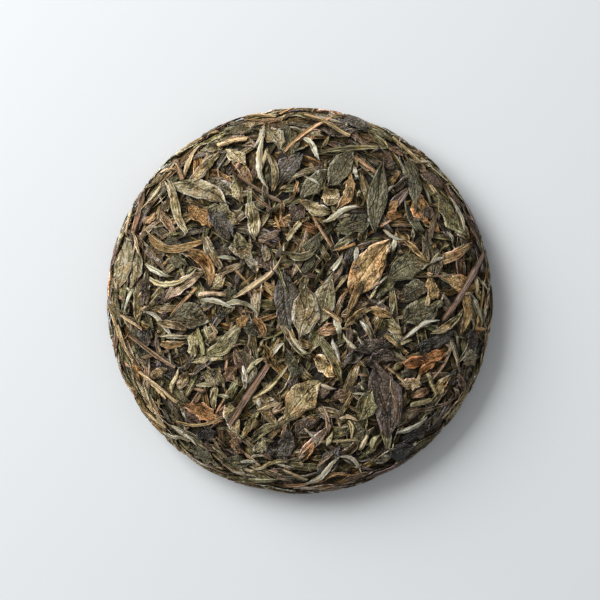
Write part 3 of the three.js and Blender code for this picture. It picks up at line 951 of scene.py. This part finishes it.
def open_leaf_material(name, lines_across, lined, veined, roughness):
    """An open leaf: veined, creased and blotched with brown, with painted highlights on its ridges and edges,
    painted shade in its creases, and painted shade with some dust where it lies deep.
    """
    material, tree, shader = new_material(name)
    values = [given_value(tree, value) for value in ("turn", "along", "own_number", "dust_and_shade")]
    across, along, number, dust_and_shade = values
    place = draw(tree, "ShaderNodeTexCoord").output("Object")
    spots = blotchy(tree, place, OPEN_SPOTS, 5.0, 0.7)
    cells = draw(tree, "ShaderNodeTexVoronoi", {"Vector": place, "Scale": NET}, feature="DISTANCE_TO_EDGE")
    net = (1.0 - cells * 9.0).clamped()
    patches = blotchy(tree, place, OPEN_PATCHES)
    stains = (noise_of(tree, place, STAINS, 2.0) - 0.5).clamped() * 4.5
    folds = blotchy(tree, joined(tree, across * lines_across, along * 2.0, number), 1.0, 4.0)
    wrinkles = joined(tree, across * lines_across * 0.8, along * 3.0, number + OTHER)
    wrinkles = noise_of(tree, wrinkles, 1.0, 2.0)
    # Painted shade in the fine creases and painted highlights on the ridges beside them, over the bumps.
    lines = (folds - crest(wrinkles, 0.5, 24.0) + crest(wrinkles, 0.57, 26.0)) * lined
    rib = crest(across, 0.0, 9.0) * veined
    lean = along * VEINS - abs(across) * 9.0
    veins = (((lean + patches * 0.8).sine() * 0.5 + 0.5) ** 6.0) * veined
    # Painted highlight along the leaf's edges, where light catches its thickness.
    edge = abs(across) ** 9.0
    shade = 1.0 + spots * 0.5 + lines - stains - net * 0.2 + rib * 0.5 + veins * 0.25 + edge * 1.6
    # Painted shade, with some dust, where the leaf lies deep among the others.
    shade = shade.at_least(OPEN_DARKEST) * (1.0 - dust_and_shade * DUST_AND_SHADE_DARK)
    tints = blotches(patches, OPEN_BROWNER, OPEN_PALER, OPEN_FADED)
    height = spots * 0.1 + lines * 0.8 - net * 0.2 - rib * 0.6 - veins * 0.2
    tone = draw(tree, "ShaderNodeAttribute", attribute_name="tone").output("Color")
    paint(tree, shader, tone, shade, tints, height, OPEN_BUMP, folds * 0.1 + roughness)
    return material


OPEN_SHARES = {
    "moss": 24, "slate": 17, "olive": 24, "umber": 13, "gold": 3, "rust": 3, "mauve": 8, "pale olive": 5,
    "tan": 3,
}
BROADEST = 0.42  # of an open leaf's length
OPEN_LEAF = {
    "vary": 0.22, "light": OPEN_LIGHT, "tapers": (TORN_TAPER, CUT_TAPER), "ragged": 0.12, "wave": 0.45,
    "pleat": 4.0, "bridge": 2, "material": open_leaf_material("open_leaf", 1.8, 0.5, 1.0, 0.38),
}


def open_leaves(name, count, part, length, width, stations, columns, kind=OPEN_LEAF):
    arc, angle = spread(count, *part)
    lengths = dice.uniform(*length, count)
    lines, ups = trace(arc, angle, headings(arc), lengths, curves(count, stations, 0.02, 0.03), stations)
    widths = np.minimum(dice.uniform(*width, count), BROADEST * lengths)
    sheets(name, lines, ups, widths, OPEN_SHARES, columns, **kind)


open_leaves("open_leaves_beneath_top", 90, TOP, (14, 30), (6, 13), 15, 7)
open_leaves("open_leaves_beneath_rim", 60, RIM, (14, 28), (4, 8), 15, 6)
open_leaves("open_leaves_beneath_under", 80, UNDER, (14, 30), (6, 12), 15, 7)
rolled_leaves("rolled_leaves_top", 420, TOP, (14, 34), (1.6, 3.8), 13, 12)
rolled_leaves("rolled_leaves_rim", 380, BROAD_RIM, (16, 36), (1.7, 3.4), 11, 9, RIM_SHARES)
rolled_leaves("rolled_leaves_under", 320, UNDER, (12, 28), (2.0, 4.4), 11, 9)

# Other leaves are folded lengthwise in narrow pleats, or lie half open like a boat. The last of the
# open leaves lie over them.
FOLDED_LEAF = {
    **OPEN_LEAF, "light": FOLDED_LIGHT, "ragged": 0.08, "wave": 0.6, "pleat": 7.0,
    "material": open_leaf_material("folded_leaf", 5.0, 1.0, 0.0, 0.44),
}
open_leaves("folded_leaves_top", 340, TOP, (16, 36), (2.2, 5.4), 13, 8, FOLDED_LEAF)
open_leaves("folded_leaves_rim", 200, BROAD_RIM, (16, 36), (2.2, 4.5), 13, 6, FOLDED_LEAF)
open_leaves("folded_leaves_under", 220, UNDER, (14, 34), (2.6, 6.2), 13, 6, FOLDED_LEAF)
open_leaves("open_leaves_top", 60, TOP, (12, 26), (5, 11), 17, 8)
open_leaves("open_leaves_under", 50, UNDER, (12, 26), (5, 11), 17, 8)

# Silver buds are unopened leaf tips, slender, thickest a third of the way up, curved like a hook and
# covered with white down.
BUD_SHARES = {"silver bud": 60, "green bud": 25, "tan bud": 15}
BUD = {
    "vary": 0.14, "light": BUD_LIGHT, "twist": 0.8, "thin": (0.45, 0.7), "uneven": 0.08,
    "taper": (0.35, 0.7, 0.95, 1.0, 0.9, 0.7, 0.45, 0.12),
    "inputs": {"Sides": 12, "Folds": 3.0, "Fold Depth": 0.45, "Crumple": 0.3},
    "material": leaf_material("downy_bud", 12.0, 0.3, 0.15, 3.0, 0.5, 0.6, sheen=0.1),
}


def strew(name, count, part, length, width, stations, bend, colours, heading=headings, **kind):
    """Strips of one kind, spread over a part of the surface."""
    arc, angle = spread(count, *part)
    lengths = dice.uniform(*length, count)
    lines, ups = trace(arc, angle, heading(arc), lengths, curves(count, stations, *bend), stations)
    build_strips(name, lines, ups, dice.uniform(*width, count), colours, **kind)


for side, part, count in (("top", TOP, 44), ("rim", RIM, 60), ("under", UNDER, 60)):
    name = f"silver_buds_{side}"
    strew(name, count, part, (9, 24), (1.6, 3.2), 15, (0.04, 0.04), BUD_SHARES, **BUD)

# Stems are round twigs of the bush, nearly straight and of one thickness, ridged along their length
# and broken off at both ends.
STEM_SHARES = {"copper": 30, "tan": 30, "umber": 25, "mauve": 15}
STEM = {
    "vary": 0.18, "light": ROLLED_LIGHT, "twist": 0.8, "thin": (0.7, 0.9), "uneven": 0.05, "stiff": 4,
    "taper": (0.9, 1.0, 0.95, 1.0, 0.95, 0.85),
    "inputs": {"Sides": 10, "Folds": 2.0, "Fold Depth": 0.16, "Crumple": 0.08},
    "material": leaf_material("stem", 10.0, 0.45, 0.2, 2.0, 0.8, 0.4),
}
for side, part, count in (("top", TOP, 26), ("rim", RIM, 60), ("under", UNDER, 50)):
    name = f"stems_{side}"
    strew(name, count, part, (9, 26), (1.2, 2.4), 13, (0.01, 0.02), STEM_SHARES, **STEM)

# Some leaves lie open on the top where the photograph shows them. Each row has a leaf's kind of
# colour, its tail's and its tip's x and y and its width in the photograph's pixels, and how far its
# midrib bows to the left of its way, as a share of its length.
PHOTO_LEAVES = (
    ("olive", 166, 184, 228, 205, 19, 0.05),
    ("grey", 209, 176, 236, 198, 16, 0),
    ("olive", 200, 152, 232, 138, 12, 0),
    ("moss", 200, 139, 222, 122, 10, 0),
    ("pale olive", 224, 148, 247, 166, 13, 0),
    ("pale olive", 232, 173, 243, 206, 12, 0),
    ("moss", 285, 121, 291, 162, 18, 0.04),
    ("olive", 217, 198, 235, 238, 17, 0),
    ("olive", 234, 232, 249, 268, 18, 0.05),
    ("moss", 168, 248, 188, 268, 14, 0),
    ("umber", 150, 300, 190, 292, 12, 0),
    ("pale olive", 322, 186, 342, 207, 18, 0),
    ("moss", 333, 230, 377, 214, 18, 0),
    ("gold", 396, 230, 408, 245, 11, 0),
    ("moss", 398, 297, 428, 284, 18, 0),
    ("slate umber", 440, 212, 452, 240, 11, 0),
    ("copper", 224, 382, 237, 365, 13, 0),
    ("copper", 226, 432, 246, 452, 13, 0),
    ("slate umber", 288, 398, 301, 372, 12, 0),
    ("near black", 402, 440, 432, 425, 14, 0),
    ("slate umber", 352, 350, 398, 344, 15, 0),
    ("rust", 185, 203, 212, 230, 15, 0.05),
    ("slate", 209, 210, 232, 240, 16, 0),
    ("grey", 143, 240, 165, 265, 17, 0.05),
    ("olive", 127, 235, 118, 290, 20, 0.06),
    ("olive", 137, 250, 132, 290, 12, 0.04),
    ("moss", 165, 318, 212, 318, 25, 0),
    ("slate", 142, 350, 150, 325, 14, 0),
    ("pale olive", 190, 360, 225, 358, 13, 0.05),
    ("pale olive", 209, 289, 226, 276, 14, 0),
    ("slate", 335, 115, 372, 130, 15, 0),
    ("olive", 270, 118, 280, 152, 17, -0.04),
    ("slate", 275, 190, 304, 152, 17, 0.05),
    ("moss", 355, 150, 326, 188, 23, 0.03),
    ("gold", 350, 170, 334, 211, 10, 0.14),
    ("umber", 290, 220, 305, 205, 17, 0),
    ("moss", 222, 135, 260, 125, 12, 0.03),
    ("pale olive", 297, 201, 332, 211, 13, -0.08),
    ("moss", 403, 155, 418, 212, 17, 0.05),
    ("moss", 378, 236, 385, 160, 20, 0.06),
    ("umber", 420, 172, 443, 190, 10, 0),
    ("bright moss", 435, 193, 468, 238, 15, -0.04),
    ("umber", 425, 205, 430, 222, 12, 0),
    ("moss", 383, 280, 430, 262, 24, 0.05),
    ("slate umber", 360, 360, 403, 359, 13, 0),
    ("moss", 402, 325, 438, 305, 27, -0.03),
    ("near black", 415, 352, 455, 330, 13, 0),
    ("near black", 465, 340, 480, 335, 17, 0),
    ("gold", 392, 238, 352, 300, 31, -0.05),
    ("slate", 285, 265, 290, 332, 27, -0.04),
    ("olive", 332, 273, 318, 333, 23, 0),
    ("olive", 306, 283, 300, 342, 28, 0.03),
    ("rust", 233, 328, 250, 315, 10, 0),
    ("pale gold", 315, 355, 337, 377, 14, 0),
    ("pale olive", 193, 357, 196, 327, 12, 0),
    ("moss", 190, 448, 215, 462, 16, 0),
    ("near black", 203, 425, 208, 445, 18, 0),
    ("gold olive", 250, 432, 253, 418, 14, 0),
    ("slate", 276, 458, 292, 428, 14, 0),
    ("olive", 253, 452, 270, 440, 14, 0),
    ("gold olive", 283, 423, 323, 380, 30, 0.04),
    ("slate umber", 375, 362, 388, 440, 32, 0.03),
    ("near black", 385, 455, 415, 445, 20, 0),
    ("gold olive", 403, 410, 407, 390, 9, 0),
    ("tan", 400, 383, 423, 385, 12, 0),
    ("bright moss", 358, 424, 373, 389, 21, 0.05),
    ("fresh copper", 226, 419, 186, 403, 17, 0.08),
    ("bright moss", 420, 325, 444, 302, 12, 0.05),
    ("olive", 462, 362, 479, 356, 15, 0),
    ("gold", 430, 275, 437, 300, 13, 0),
)
PHOTO_STATIONS = 26
PHOTO_VARY = 0.06
SWAY = 0.025  # of a piece's length, how far its middle line swings to both sides
WHOLE_WIDTH = 19  # pixels; narrower ones have torn
INSIDE = 0.05  # millimetres that a middle line keeps from the widest circle
SEEN_LEAF = {**OPEN_LEAF, "vary": PHOTO_VARY, "wave": 0.4, "pleat": 5.0, "bridge": 5}


def from_photo(rows, slenderest=1.0, sway=SWAY):
    """Middle lines of pieces that the photograph shows, from their tails to their tips, and their
    widths, held under a share of their lengths."""
    left, top, right, low, width, bend = np.array([row[1:] for row in rows], float).T[..., None]
    run_x, run_y = right - left, low - top
    t = np.linspace(0, 1, PHOTO_STATIONS)
    x = left + run_x * t + run_y * bend * 4 * t * (1 - t)
    y = top + run_y * t - run_x * bend * 4 * t * (1 - t)
    swing = dice.normal(0, sway, (len(rows), 1))
    swing = swing * np.sin(2 * math.pi * t + dice.uniform(0, 6, (len(rows), 1)))
    across = (x + run_y * swing - CAKE_CENTRE[0]) * PIXEL / MM
    up = -(y - run_x * swing - CAKE_CENTRE[1]) * PIXEL / MM
    reach = np.hypot(across, up)
    dome = slice(0, PROFILE_STEPS)
    radius = reach
    for _ in range(4):  # what stands higher is nearer the camera and looks larger
        z = np.interp(radius, PROFILE_R[dome], PROFILE_Z[dome]) - WIDEST_HEIGHT
        radius = np.minimum(reach * (1 - z * MM / CAMERA_HEIGHT), WIDEST_RADIUS - INSIDE)
    lines, ups = on_surface(np.interp(radius, PROFILE_R[dome], ARC[dome]), np.arctan2(up, across))
    return lines, ups, (np.minimum(width, slenderest * np.hypot(run_x, run_y)) * PIXEL / MM)[:, 0]


def seen_sheets(name, rows, columns, slenderest=1.0, **kind):
    sheets(name, *from_photo(rows, slenderest), [row[0] for row in rows], columns, **kind)


heap.kept = heap.laid
torn_rows = [row for row in PHOTO_LEAVES if row[5] < WHOLE_WIDTH]
whole_rows = [row for row in PHOTO_LEAVES if row[5] >= WHOLE_WIDTH]
seen_sheets("torn_leaves_seen", torn_rows, 10, **{**SEEN_LEAF, "ragged": 0.18})
WHOLE = {"ragged": 0.09, "tapers": (OPEN_TAPER, OPEN_TAPER)}
seen_sheets("open_leaves_seen", whole_rows, 11, **{**SEEN_LEAF, **WHOLE})

# Narrow folded and rolled leaves lie over them, in rows of the same terms. The wider ones are open
# enough to be sheets with pleats.
PHOTO_FOLDED = (
    ("pale olive", 191, 181, 220, 152, 10, 0),
    ("olive", 163, 178, 187, 236, 9, 0.05),
    ("tan", 183, 199, 207, 207, 4, 0),
    ("salmon", 160, 210, 176, 235, 9, 0),
    ("salmon", 143, 225, 155, 211, 9, 0),
    ("tan", 157, 173, 176, 168, 6, 0),
    ("gold", 143, 232, 205, 243, 8, -0.17),
    ("rust", 187, 252, 208, 287, 13, 0.22),
    ("mauve", 165, 300, 205, 272, 13, 0.04),
    ("tan", 133, 232, 141, 258, 5, 0),
    ("tan", 157, 322, 187, 330, 8, 0.05),
    ("silver", 157, 335, 192, 334, 6, -0.08),
    ("gold", 160, 343, 186, 342, 8, -0.1),
    ("salmon", 208, 340, 218, 331, 10, 0),
    ("moss", 240, 328, 203, 357, 15, 0.06),
    ("moss", 322, 152, 393, 148, 7, 0.03),
    ("pale olive", 266, 150, 273, 192, 8, 0.12),
    ("umber", 233, 170, 282, 213, 5, -0.08),
    ("olive", 250, 201, 256, 242, 13, 0.04),
    ("copper", 281, 200, 284, 228, 6, 0),
    ("rust", 298, 180, 293, 198, 5, 0),
    ("pale olive", 245, 128, 256, 121, 8, 0),
    ("rust", 398, 200, 388, 212, 10, 0),
    ("rust", 385, 220, 403, 215, 9, 0.1),
    ("gold", 363, 278, 346, 322, 8, -0.04),
    ("pale olive", 430, 333, 463, 307, 8, -0.14),
    ("orange", 404, 367, 434, 367, 12, 0.14),
    ("orange", 422, 357, 447, 351, 11, -0.1),
    ("orange", 419, 374, 439, 361, 8, 0.1),
    ("gold", 366, 310, 392, 318, 9, 0.05),
    ("olive", 383, 320, 404, 332, 11, 0),
    ("silver", 450, 340, 459, 372, 7, 0.06),
    ("gold", 405, 240, 428, 262, 7, 0),
    ("silver", 245, 258, 260, 274, 9, 0),
    ("silver", 265, 245, 266, 262, 10, 0),
    ("umber", 258, 240, 275, 247, 6, 0),
    ("moss", 280, 250, 320, 245, 8, -0.22),
    ("moss", 272, 247, 294, 300, 4, -0.07),
    ("rust", 251, 320, 264, 337, 8, 0.2),
    ("copper", 317, 333, 343, 325, 12, 0.05),
    ("moss", 318, 338, 343, 385, 10, 0.05),
    ("pale gold", 297, 342, 313, 345, 9, 0),
    ("gold", 270, 358, 280, 338, 6, 0),
    ("gold olive", 345, 328, 371, 308, 8, 0.08),
    ("silver", 352, 330, 363, 345, 7, 0),
    ("silver", 243, 366, 245, 390, 7, 0.05),
    ("pale olive", 253, 398, 288, 365, 7, -0.07),
    ("rust", 208, 413, 222, 418, 5, 0),
    ("tan", 150, 378, 168, 370, 11, 0.1),
    ("tan", 180, 390, 189, 372, 11, 0.1),
    ("pale olive", 217, 372, 224, 388, 11, 0),
    ("pale olive", 204, 372, 213, 386, 9, 0),
    ("olive", 132, 372, 147, 410, 5, -0.05),
    ("tan", 120, 375, 137, 392, 5, -0.05),
    ("olive", 143, 380, 155, 415, 5, 0),
    ("tan", 150, 385, 165, 415, 5, 0),
    ("moss", 250, 442, 280, 424, 9, 0.05),
    ("mauve", 272, 413, 284, 400, 6, 0),
    ("olive", 253, 470, 290, 462, 6, 0.05),
    ("umber", 331, 398, 348, 392, 11, 0),
    ("mauve", 322, 405, 326, 440, 6, 0.12),
    ("mauve", 317, 468, 333, 452, 6, 0),
    ("rust", 325, 479, 352, 474, 5, 0.1),
    ("rust", 306, 460, 315, 442, 5, 0),
    ("umber", 394, 375, 397, 425, 6, -0.04),
    ("tan", 382, 365, 408, 388, 5, 0.08),
    ("gold olive", 437, 397, 450, 375, 9, 0.05),
    ("copper", 410, 398, 432, 388, 8, 0),
    ("umber", 407, 413, 460, 396, 5, -0.05),
    ("umber", 365, 479, 402, 461, 12, -0.07),
    ("umber", 458, 372, 463, 392, 8, 0),
    ("olive", 352, 438, 334, 424, 6, -0.45),
)
SLENDER = 0.5  # folded and rolled pieces are at most half as wide as long
WIDE = 8  # pixels; wider ones are pleated, narrower ones rolled
SEEN_FOLDED = {**FOLDED_LEAF, "vary": PHOTO_VARY, "ragged": 0.07, "wave": 0.55, "bridge": 3}
SEEN_ROLLED = {**ROLLED_LEAF, "twist": 1.2, "thin": (0.26, 0.4), "stiff": 3, "inputs": {"Sides": 14}}


def seen_strips(name, rows, sway=SWAY, **kind):
    colours = [row[0] for row in rows]
    kind = {**kind, "vary": PHOTO_VARY, "uneven": 0.1}
    build_strips(name, *from_photo(rows, SLENDER, sway), colours, **kind)


folded_rows = [row for row in PHOTO_FOLDED if row[5] >= WIDE]
rolled_rows = [row for row in PHOTO_FOLDED if row[5] < WIDE]
seen_sheets("folded_leaves_seen", folded_rows, 9, SLENDER, **SEEN_FOLDED)
seen_strips("rolled_leaves_seen", rolled_rows, **SEEN_ROLLED)

# Buds and stems lie on top of the leaves, in rows of the same terms.
PHOTO_BUDS = (
    ("tan bud", 183, 178, 203, 145, 6, 0.1),
    ("silver bud", 145, 263, 173, 276, 7, -0.12),
    ("green bud", 144, 272, 196, 268, 7, -0.3),
    ("silver bud", 201, 300, 237, 310, 7, 0.08),
    ("silver bud", 264, 127, 253, 148, 7, 0.1),
    ("silver bud", 264, 137, 269, 189, 8, -0.16),
    ("silver bud", 303, 137, 320, 160, 8, 0.08),
    ("silver bud", 322, 219, 362, 202, 7, -0.06),
    ("silver bud", 353, 165, 359, 180, 5, 0),
    ("tan bud", 410, 161, 433, 166, 5, 0.1),
    ("silver bud", 383, 229, 405, 240, 5, -0.1),
    ("silver bud", 447, 232, 456, 252, 5, 0.1),
    ("silver bud", 431, 263, 446, 258, 5, 0.1),
    ("silver bud", 403, 339, 440, 320, 7, 0.08),
    ("silver bud", 468, 293, 482, 322, 6, 0.1),
    ("silver bud", 477, 275, 490, 292, 4, 0),
    ("tan bud", 233, 297, 281, 256, 8, -0.1),
    ("silver bud", 334, 316, 339, 342, 7, 0.08),
    ("silver bud", 334, 338, 341, 362, 6, -0.08),
    ("silver bud", 357, 247, 355, 262, 6, 0),
    ("silver bud", 274, 353, 284, 343, 6, 0.1),
    ("tan bud", 258, 352, 263, 340, 5, 0),
    ("silver bud", 360, 321, 371, 341, 6, 0.1),
    ("green bud", 172, 393, 179, 368, 6, 0.05),
    ("silver bud", 162, 431, 190, 441, 6, -0.05),
    ("silver bud", 181, 409, 187, 418, 4, 0),
    ("silver bud", 258, 398, 260, 408, 8, 0),
    ("silver bud", 306, 484, 340, 456, 8, -0.06),
    ("silver bud", 340, 456, 361, 472, 6, 0.2),
    ("green bud", 327, 445, 333, 432, 6, 0),
    ("silver bud", 240, 462, 258, 461, 5, 0),
    ("silver bud", 251, 457, 263, 455, 4, 0),
    ("tan bud", 340, 418, 358, 420, 6, 0.1),
    ("silver bud", 397, 432, 430, 415, 7, -0.08),
    ("green bud", 372, 448, 380, 436, 8, 0.2),
)
PHOTO_STEMS = (
    ("umber", 176, 160, 183, 180, 5, 0),
    ("mauve", 195, 296, 227, 295, 6, 0.05),
    ("moss", 197, 330, 203, 355, 6, 0.05),
    ("umber", 130, 335, 175, 367, 5, -0.03),
    ("tan", 118, 325, 134, 360, 5, -0.05),
    ("tan", 122, 315, 142, 329, 4, 0),
    ("tan", 218, 146, 247, 139, 7, 0.04),
    ("tan", 243, 117, 276, 116, 5, 0.05),
    ("rust", 280, 114, 295, 107, 4, 0),
    ("tan", 306, 115, 349, 136, 6, 0.03),
    ("copper", 284, 151, 335, 113, 5, 0.02),
    ("rust", 275, 216, 279, 228, 4, 0),
    ("olive", 300, 222, 287, 240, 6, 0),
    ("umber", 238, 175, 281, 202, 4, -0.03),
    ("tan", 393, 137, 419, 162, 5, 0),
    ("dark copper", 444, 320, 483, 254, 8, -0.02),
    ("tan", 385, 335, 408, 354, 5, 0),
    ("rust", 475, 328, 485, 330, 5, 0),
    ("rust", 338, 250, 355, 244, 4, 0),
    ("rust", 257, 290, 273, 299, 4, 0),
    ("tan", 323, 308, 342, 322, 5, 0),
    ("tan", 492, 300, 488, 330, 5, 0.05),
    ("tan", 147, 378, 166, 398, 6, 0),
    ("tan", 140, 372, 177, 402, 5, 0),
    ("tan", 176, 422, 222, 417, 4, -0.12),
    ("dark copper", 229, 424, 268, 365, 8, 0),
    ("tan", 143, 410, 166, 427, 5, 0),
    ("rust", 148, 420, 163, 432, 4, 0),
    ("olive", 283, 470, 307, 480, 5, 0),
    ("olive", 428, 373, 436, 394, 6, 0),
    ("moss", 412, 405, 430, 400, 7, 0),
)
SEEN_BUD = {**BUD, "twist": 0.5, "thin": (0.5, 0.7), "stiff": 8, "inputs": {**BUD["inputs"], "Sides": 14}}
SEEN_STEM = {**STEM, "twist": 0.4, "stiff": 40, "inputs": {**STEM["inputs"], "Sides": 12}}
STEM_SWAY = 0.006
seen_strips("silver_buds_seen", PHOTO_BUDS, **SEEN_BUD)
seen_strips("stems_seen", PHOTO_STEMS, STEM_SWAY, **SEEN_STEM)

# Broken bits are flakes of the same leaves that sift down as the bag is filled. They fill the gaps
# between the larger pieces.
BIT = {
    **ROLLED_LEAF, "vary": 0.25, "twist": 1.5, "uneven": 0.2, "taper": (0.5, 1.0, 0.9, 0.5),
    "inputs": {"Sides": 7}, "stiff": 1, "tuck": 0.9, "shy": True,
}
BIT_SHARES = {**ROLLED_SHARES, "tan": 40, "pale olive": 20, "silver": 22, "copper": 10, "salmon": 6}
for side, part, count in (("top", TOP, 700), ("rim", RIM, 260), ("under", UNDER, 200)):
    name = f"broken_bits_{side}"
    strew(name, count, part, (2.5, 7), (0.9, 2.6), 5, (0.08, 0.05), BIT_SHARES, every_way, **BIT)

# Under the pieces the cake is one dense mass of the same tea, pressed together, coloured near black as
# painted shade
# # of the deep gaps between the pieces. It is a closed shell along the pressed surface, a little below it.
CORE_DEPTH = 2.6
CORE_RELIEF = 0.5
# painted shade: the near-black of the deep gaps
CORE_SHADE_TONE = (0.022, 0.017, 0.011, 1.0)
CORE_ROUGHNESS = 0.9
CORE_LUMPS = 0.4  # to a millimetre
CORE_SPOTS = 500.0  # to a metre
CORE_RINGS, CORE_TURNS = 98, 120


def build_core():
    rings = np.linspace(0, WHOLE_ARC, CORE_RINGS + 2)[1:-1]
    turns = np.linspace(0, 2 * math.pi, CORE_TURNS, endpoint=False)
    arc, angle = np.meshgrid(rings, turns, indexing="ij")
    places, normals = on_surface(arc, angle)
    rough = [noise.noise(Vector(place) * CORE_LUMPS) for place in places.reshape(-1, 3)]
    rough = np.array(rough).reshape(arc.shape)
    points = places + normals * (CORE_RELIEF * rough - CORE_DEPTH)[..., None]
    poles, axis = on_surface(np.array([0, WHOLE_ARC]), np.zeros(2))
    corners = np.concatenate([points.reshape(-1, 3), poles - axis * CORE_DEPTH]) * MM
    here = np.arange(arc.size).reshape(arc.shape)
    after = np.roll(here, -1, axis=1)
    walls = np.stack([here[:-1], here[1:], after[1:], after[:-1]], -1).reshape(-1, 4)
    top, under = np.full(CORE_TURNS, arc.size), np.full(CORE_TURNS, arc.size + 1)
    caps = np.concatenate([
        np.stack([top, here[0], after[0]], -1),
        np.stack([under, after[-1], here[-1]], -1),
    ])
    core = plain_mesh("dense_tea_core", corners.tolist(), walls.tolist() + caps.tolist())
    material, tree, shader = new_material("dense_tea")
    place = draw(tree, "ShaderNodeTexCoord").output("Object")
    spots = noise_of(tree, place, CORE_SPOTS, 4.0)
    paint(tree, shader, CORE_SHADE_TONE, spots * 2.0, (), spots, MM, CORE_ROUGHNESS)
    core.data.materials.append(material)
    core.data.shade_smooth()
    of_tea(core)


build_core()

# The bag is turned tight, steamed and pressed under a stone, so that the heap ends up as one smooth
# dome: what stands high is pressed down most, and what can't be seen any more is left out.
LEVEL_REACH = 3.2  # the stone presses on about this much of the heap together
PIECE_REACH = 1.2  # and what still stands higher than its surroundings over this much gives way
DEPTH = 3.2  # nothing lies deeper below the pressed surface
PRESS_ARC = (0, SHOULDER_ARC, RIM_ARC, FOOT_ARC, WHOLE_ARC)
PRESS_PROUD = (PROUD, 1.1, RIM_PROUD - 0.02, FOOT_PROUD, FOOT_PROUD)
PRESS_RAISED = (0.1, 0.2, 0.5, 0.3, 0.2)
GIVEN_WAY = 0.6  # share of the proud height that is left to whole pieces
SEEN_CELLS = 18  # of the maps' cells; pieces with fewer are left out
SHOWN, SHADED = -0.3, 1.2  # below this level a piece is darkened, fully over this depth: painted shade of the gaps, with some dust and dark juice


def blurred(field, reach):
    waves = np.fft.rfft2(field)
    down, across = np.fft.fftfreq(field.shape[0]), np.fft.rfftfreq(field.shape[1])
    power = down[:, None] ** 2 + across[None, :] ** 2
    return np.fft.irfft2(waves * np.exp(-2 * (math.pi * reach / CELL) ** 2 * power), field.shape)


def levels():
    """The level that the stone presses each place of the heap's maps to."""
    found = {}
    for name, side in heap.side.items():
        field = heap.height[heap.start[name] : heap.start[name] + side * side].reshape(side, side)
        level = blurred(field, LEVEL_REACH)
        row, column = np.indices(field.shape) - side // 2
        out = np.hypot(row, column) * CELL
        arc = out if name == "top" else WHOLE_ARC - out
        proud = GIVEN_WAY * np.interp(arc, PRESS_ARC, PRESS_PROUD)
        over = np.maximum(blurred(field, PIECE_REACH) - level, 0)
        found[name] = level + over - proud * np.tanh(over / proud)
    return found


def level_at(found, arc, angle):
    """The level at points of the surface, between the four cells round each."""
    result = np.zeros(len(arc))
    for name, field in found.items():
        on = (arc < RIM_ARC) == (name == "top")
        out = np.where(name == "top", arc, WHOLE_ARC - arc)[on] / CELL
        column = out * np.cos(angle[on]) + heap.side[name] // 2
        row = out * np.sin(angle[on]) + heap.side[name] // 2
        i, k = row.astype(int), column.astype(int)
        u, v = row - i, column - k
        near = field[i, k] * (1 - v) + field[i, k + 1] * v
        far = field[i + 1, k] * (1 - v) + field[i + 1, k + 1] * v
        result[on] = near * (1 - u) + far * u
    return result


def cut_out(mesh, lost):
    """Takes the pieces that can't be seen out of a mesh, by their points."""
    cut = bmesh.new()
    cut.from_mesh(mesh)
    cut.verts.ensure_lookup_table()
    bmesh.ops.delete(cut, geom=[cut.verts[i] for i in np.flatnonzero(lost)], context="VERTS")
    cut.to_mesh(mesh)
    cut.free()


seen = np.bincount(heap.owner[heap.owner >= 0], minlength=heap.laid) >= SEEN_CELLS
pressed = levels()
for piece in heap.objects:
    mesh = piece.data
    laid = np.empty(len(mesh.vertices), np.int32)
    mesh.attributes["laid"].data.foreach_get("value", laid)
    if not seen[laid].all():
        cut_out(mesh, ~seen[laid])
    points = np.empty(len(mesh.vertices) * 3)
    mesh.vertices.foreach_get("co", points)
    arc, angle, lift = to_surface(points.reshape(-1, 3) / MM)
    over = lift - level_at(pressed, arc, angle) - np.interp(arc, PRESS_ARC, PRESS_RAISED)
    # How deep a point lies below the pressed level, for painted shade with some dust.
    own(mesh, "dust_and_shade", "FLOAT", np.clip((SHOWN - over) / SHADED, 0, 1))
    proud = np.interp(arc, PRESS_ARC, PRESS_PROUD)
    lift = np.where(over > 0, proud * np.tanh(over / proud), DEPTH * np.tanh(over / DEPTH))
    places, normals = on_surface(arc, angle)
    mesh.vertices.foreach_set("co", ((places + normals * lift[:, None]) * MM).ravel())
    mesh.attributes.remove(mesh.attributes["laid"])
    mesh.update()
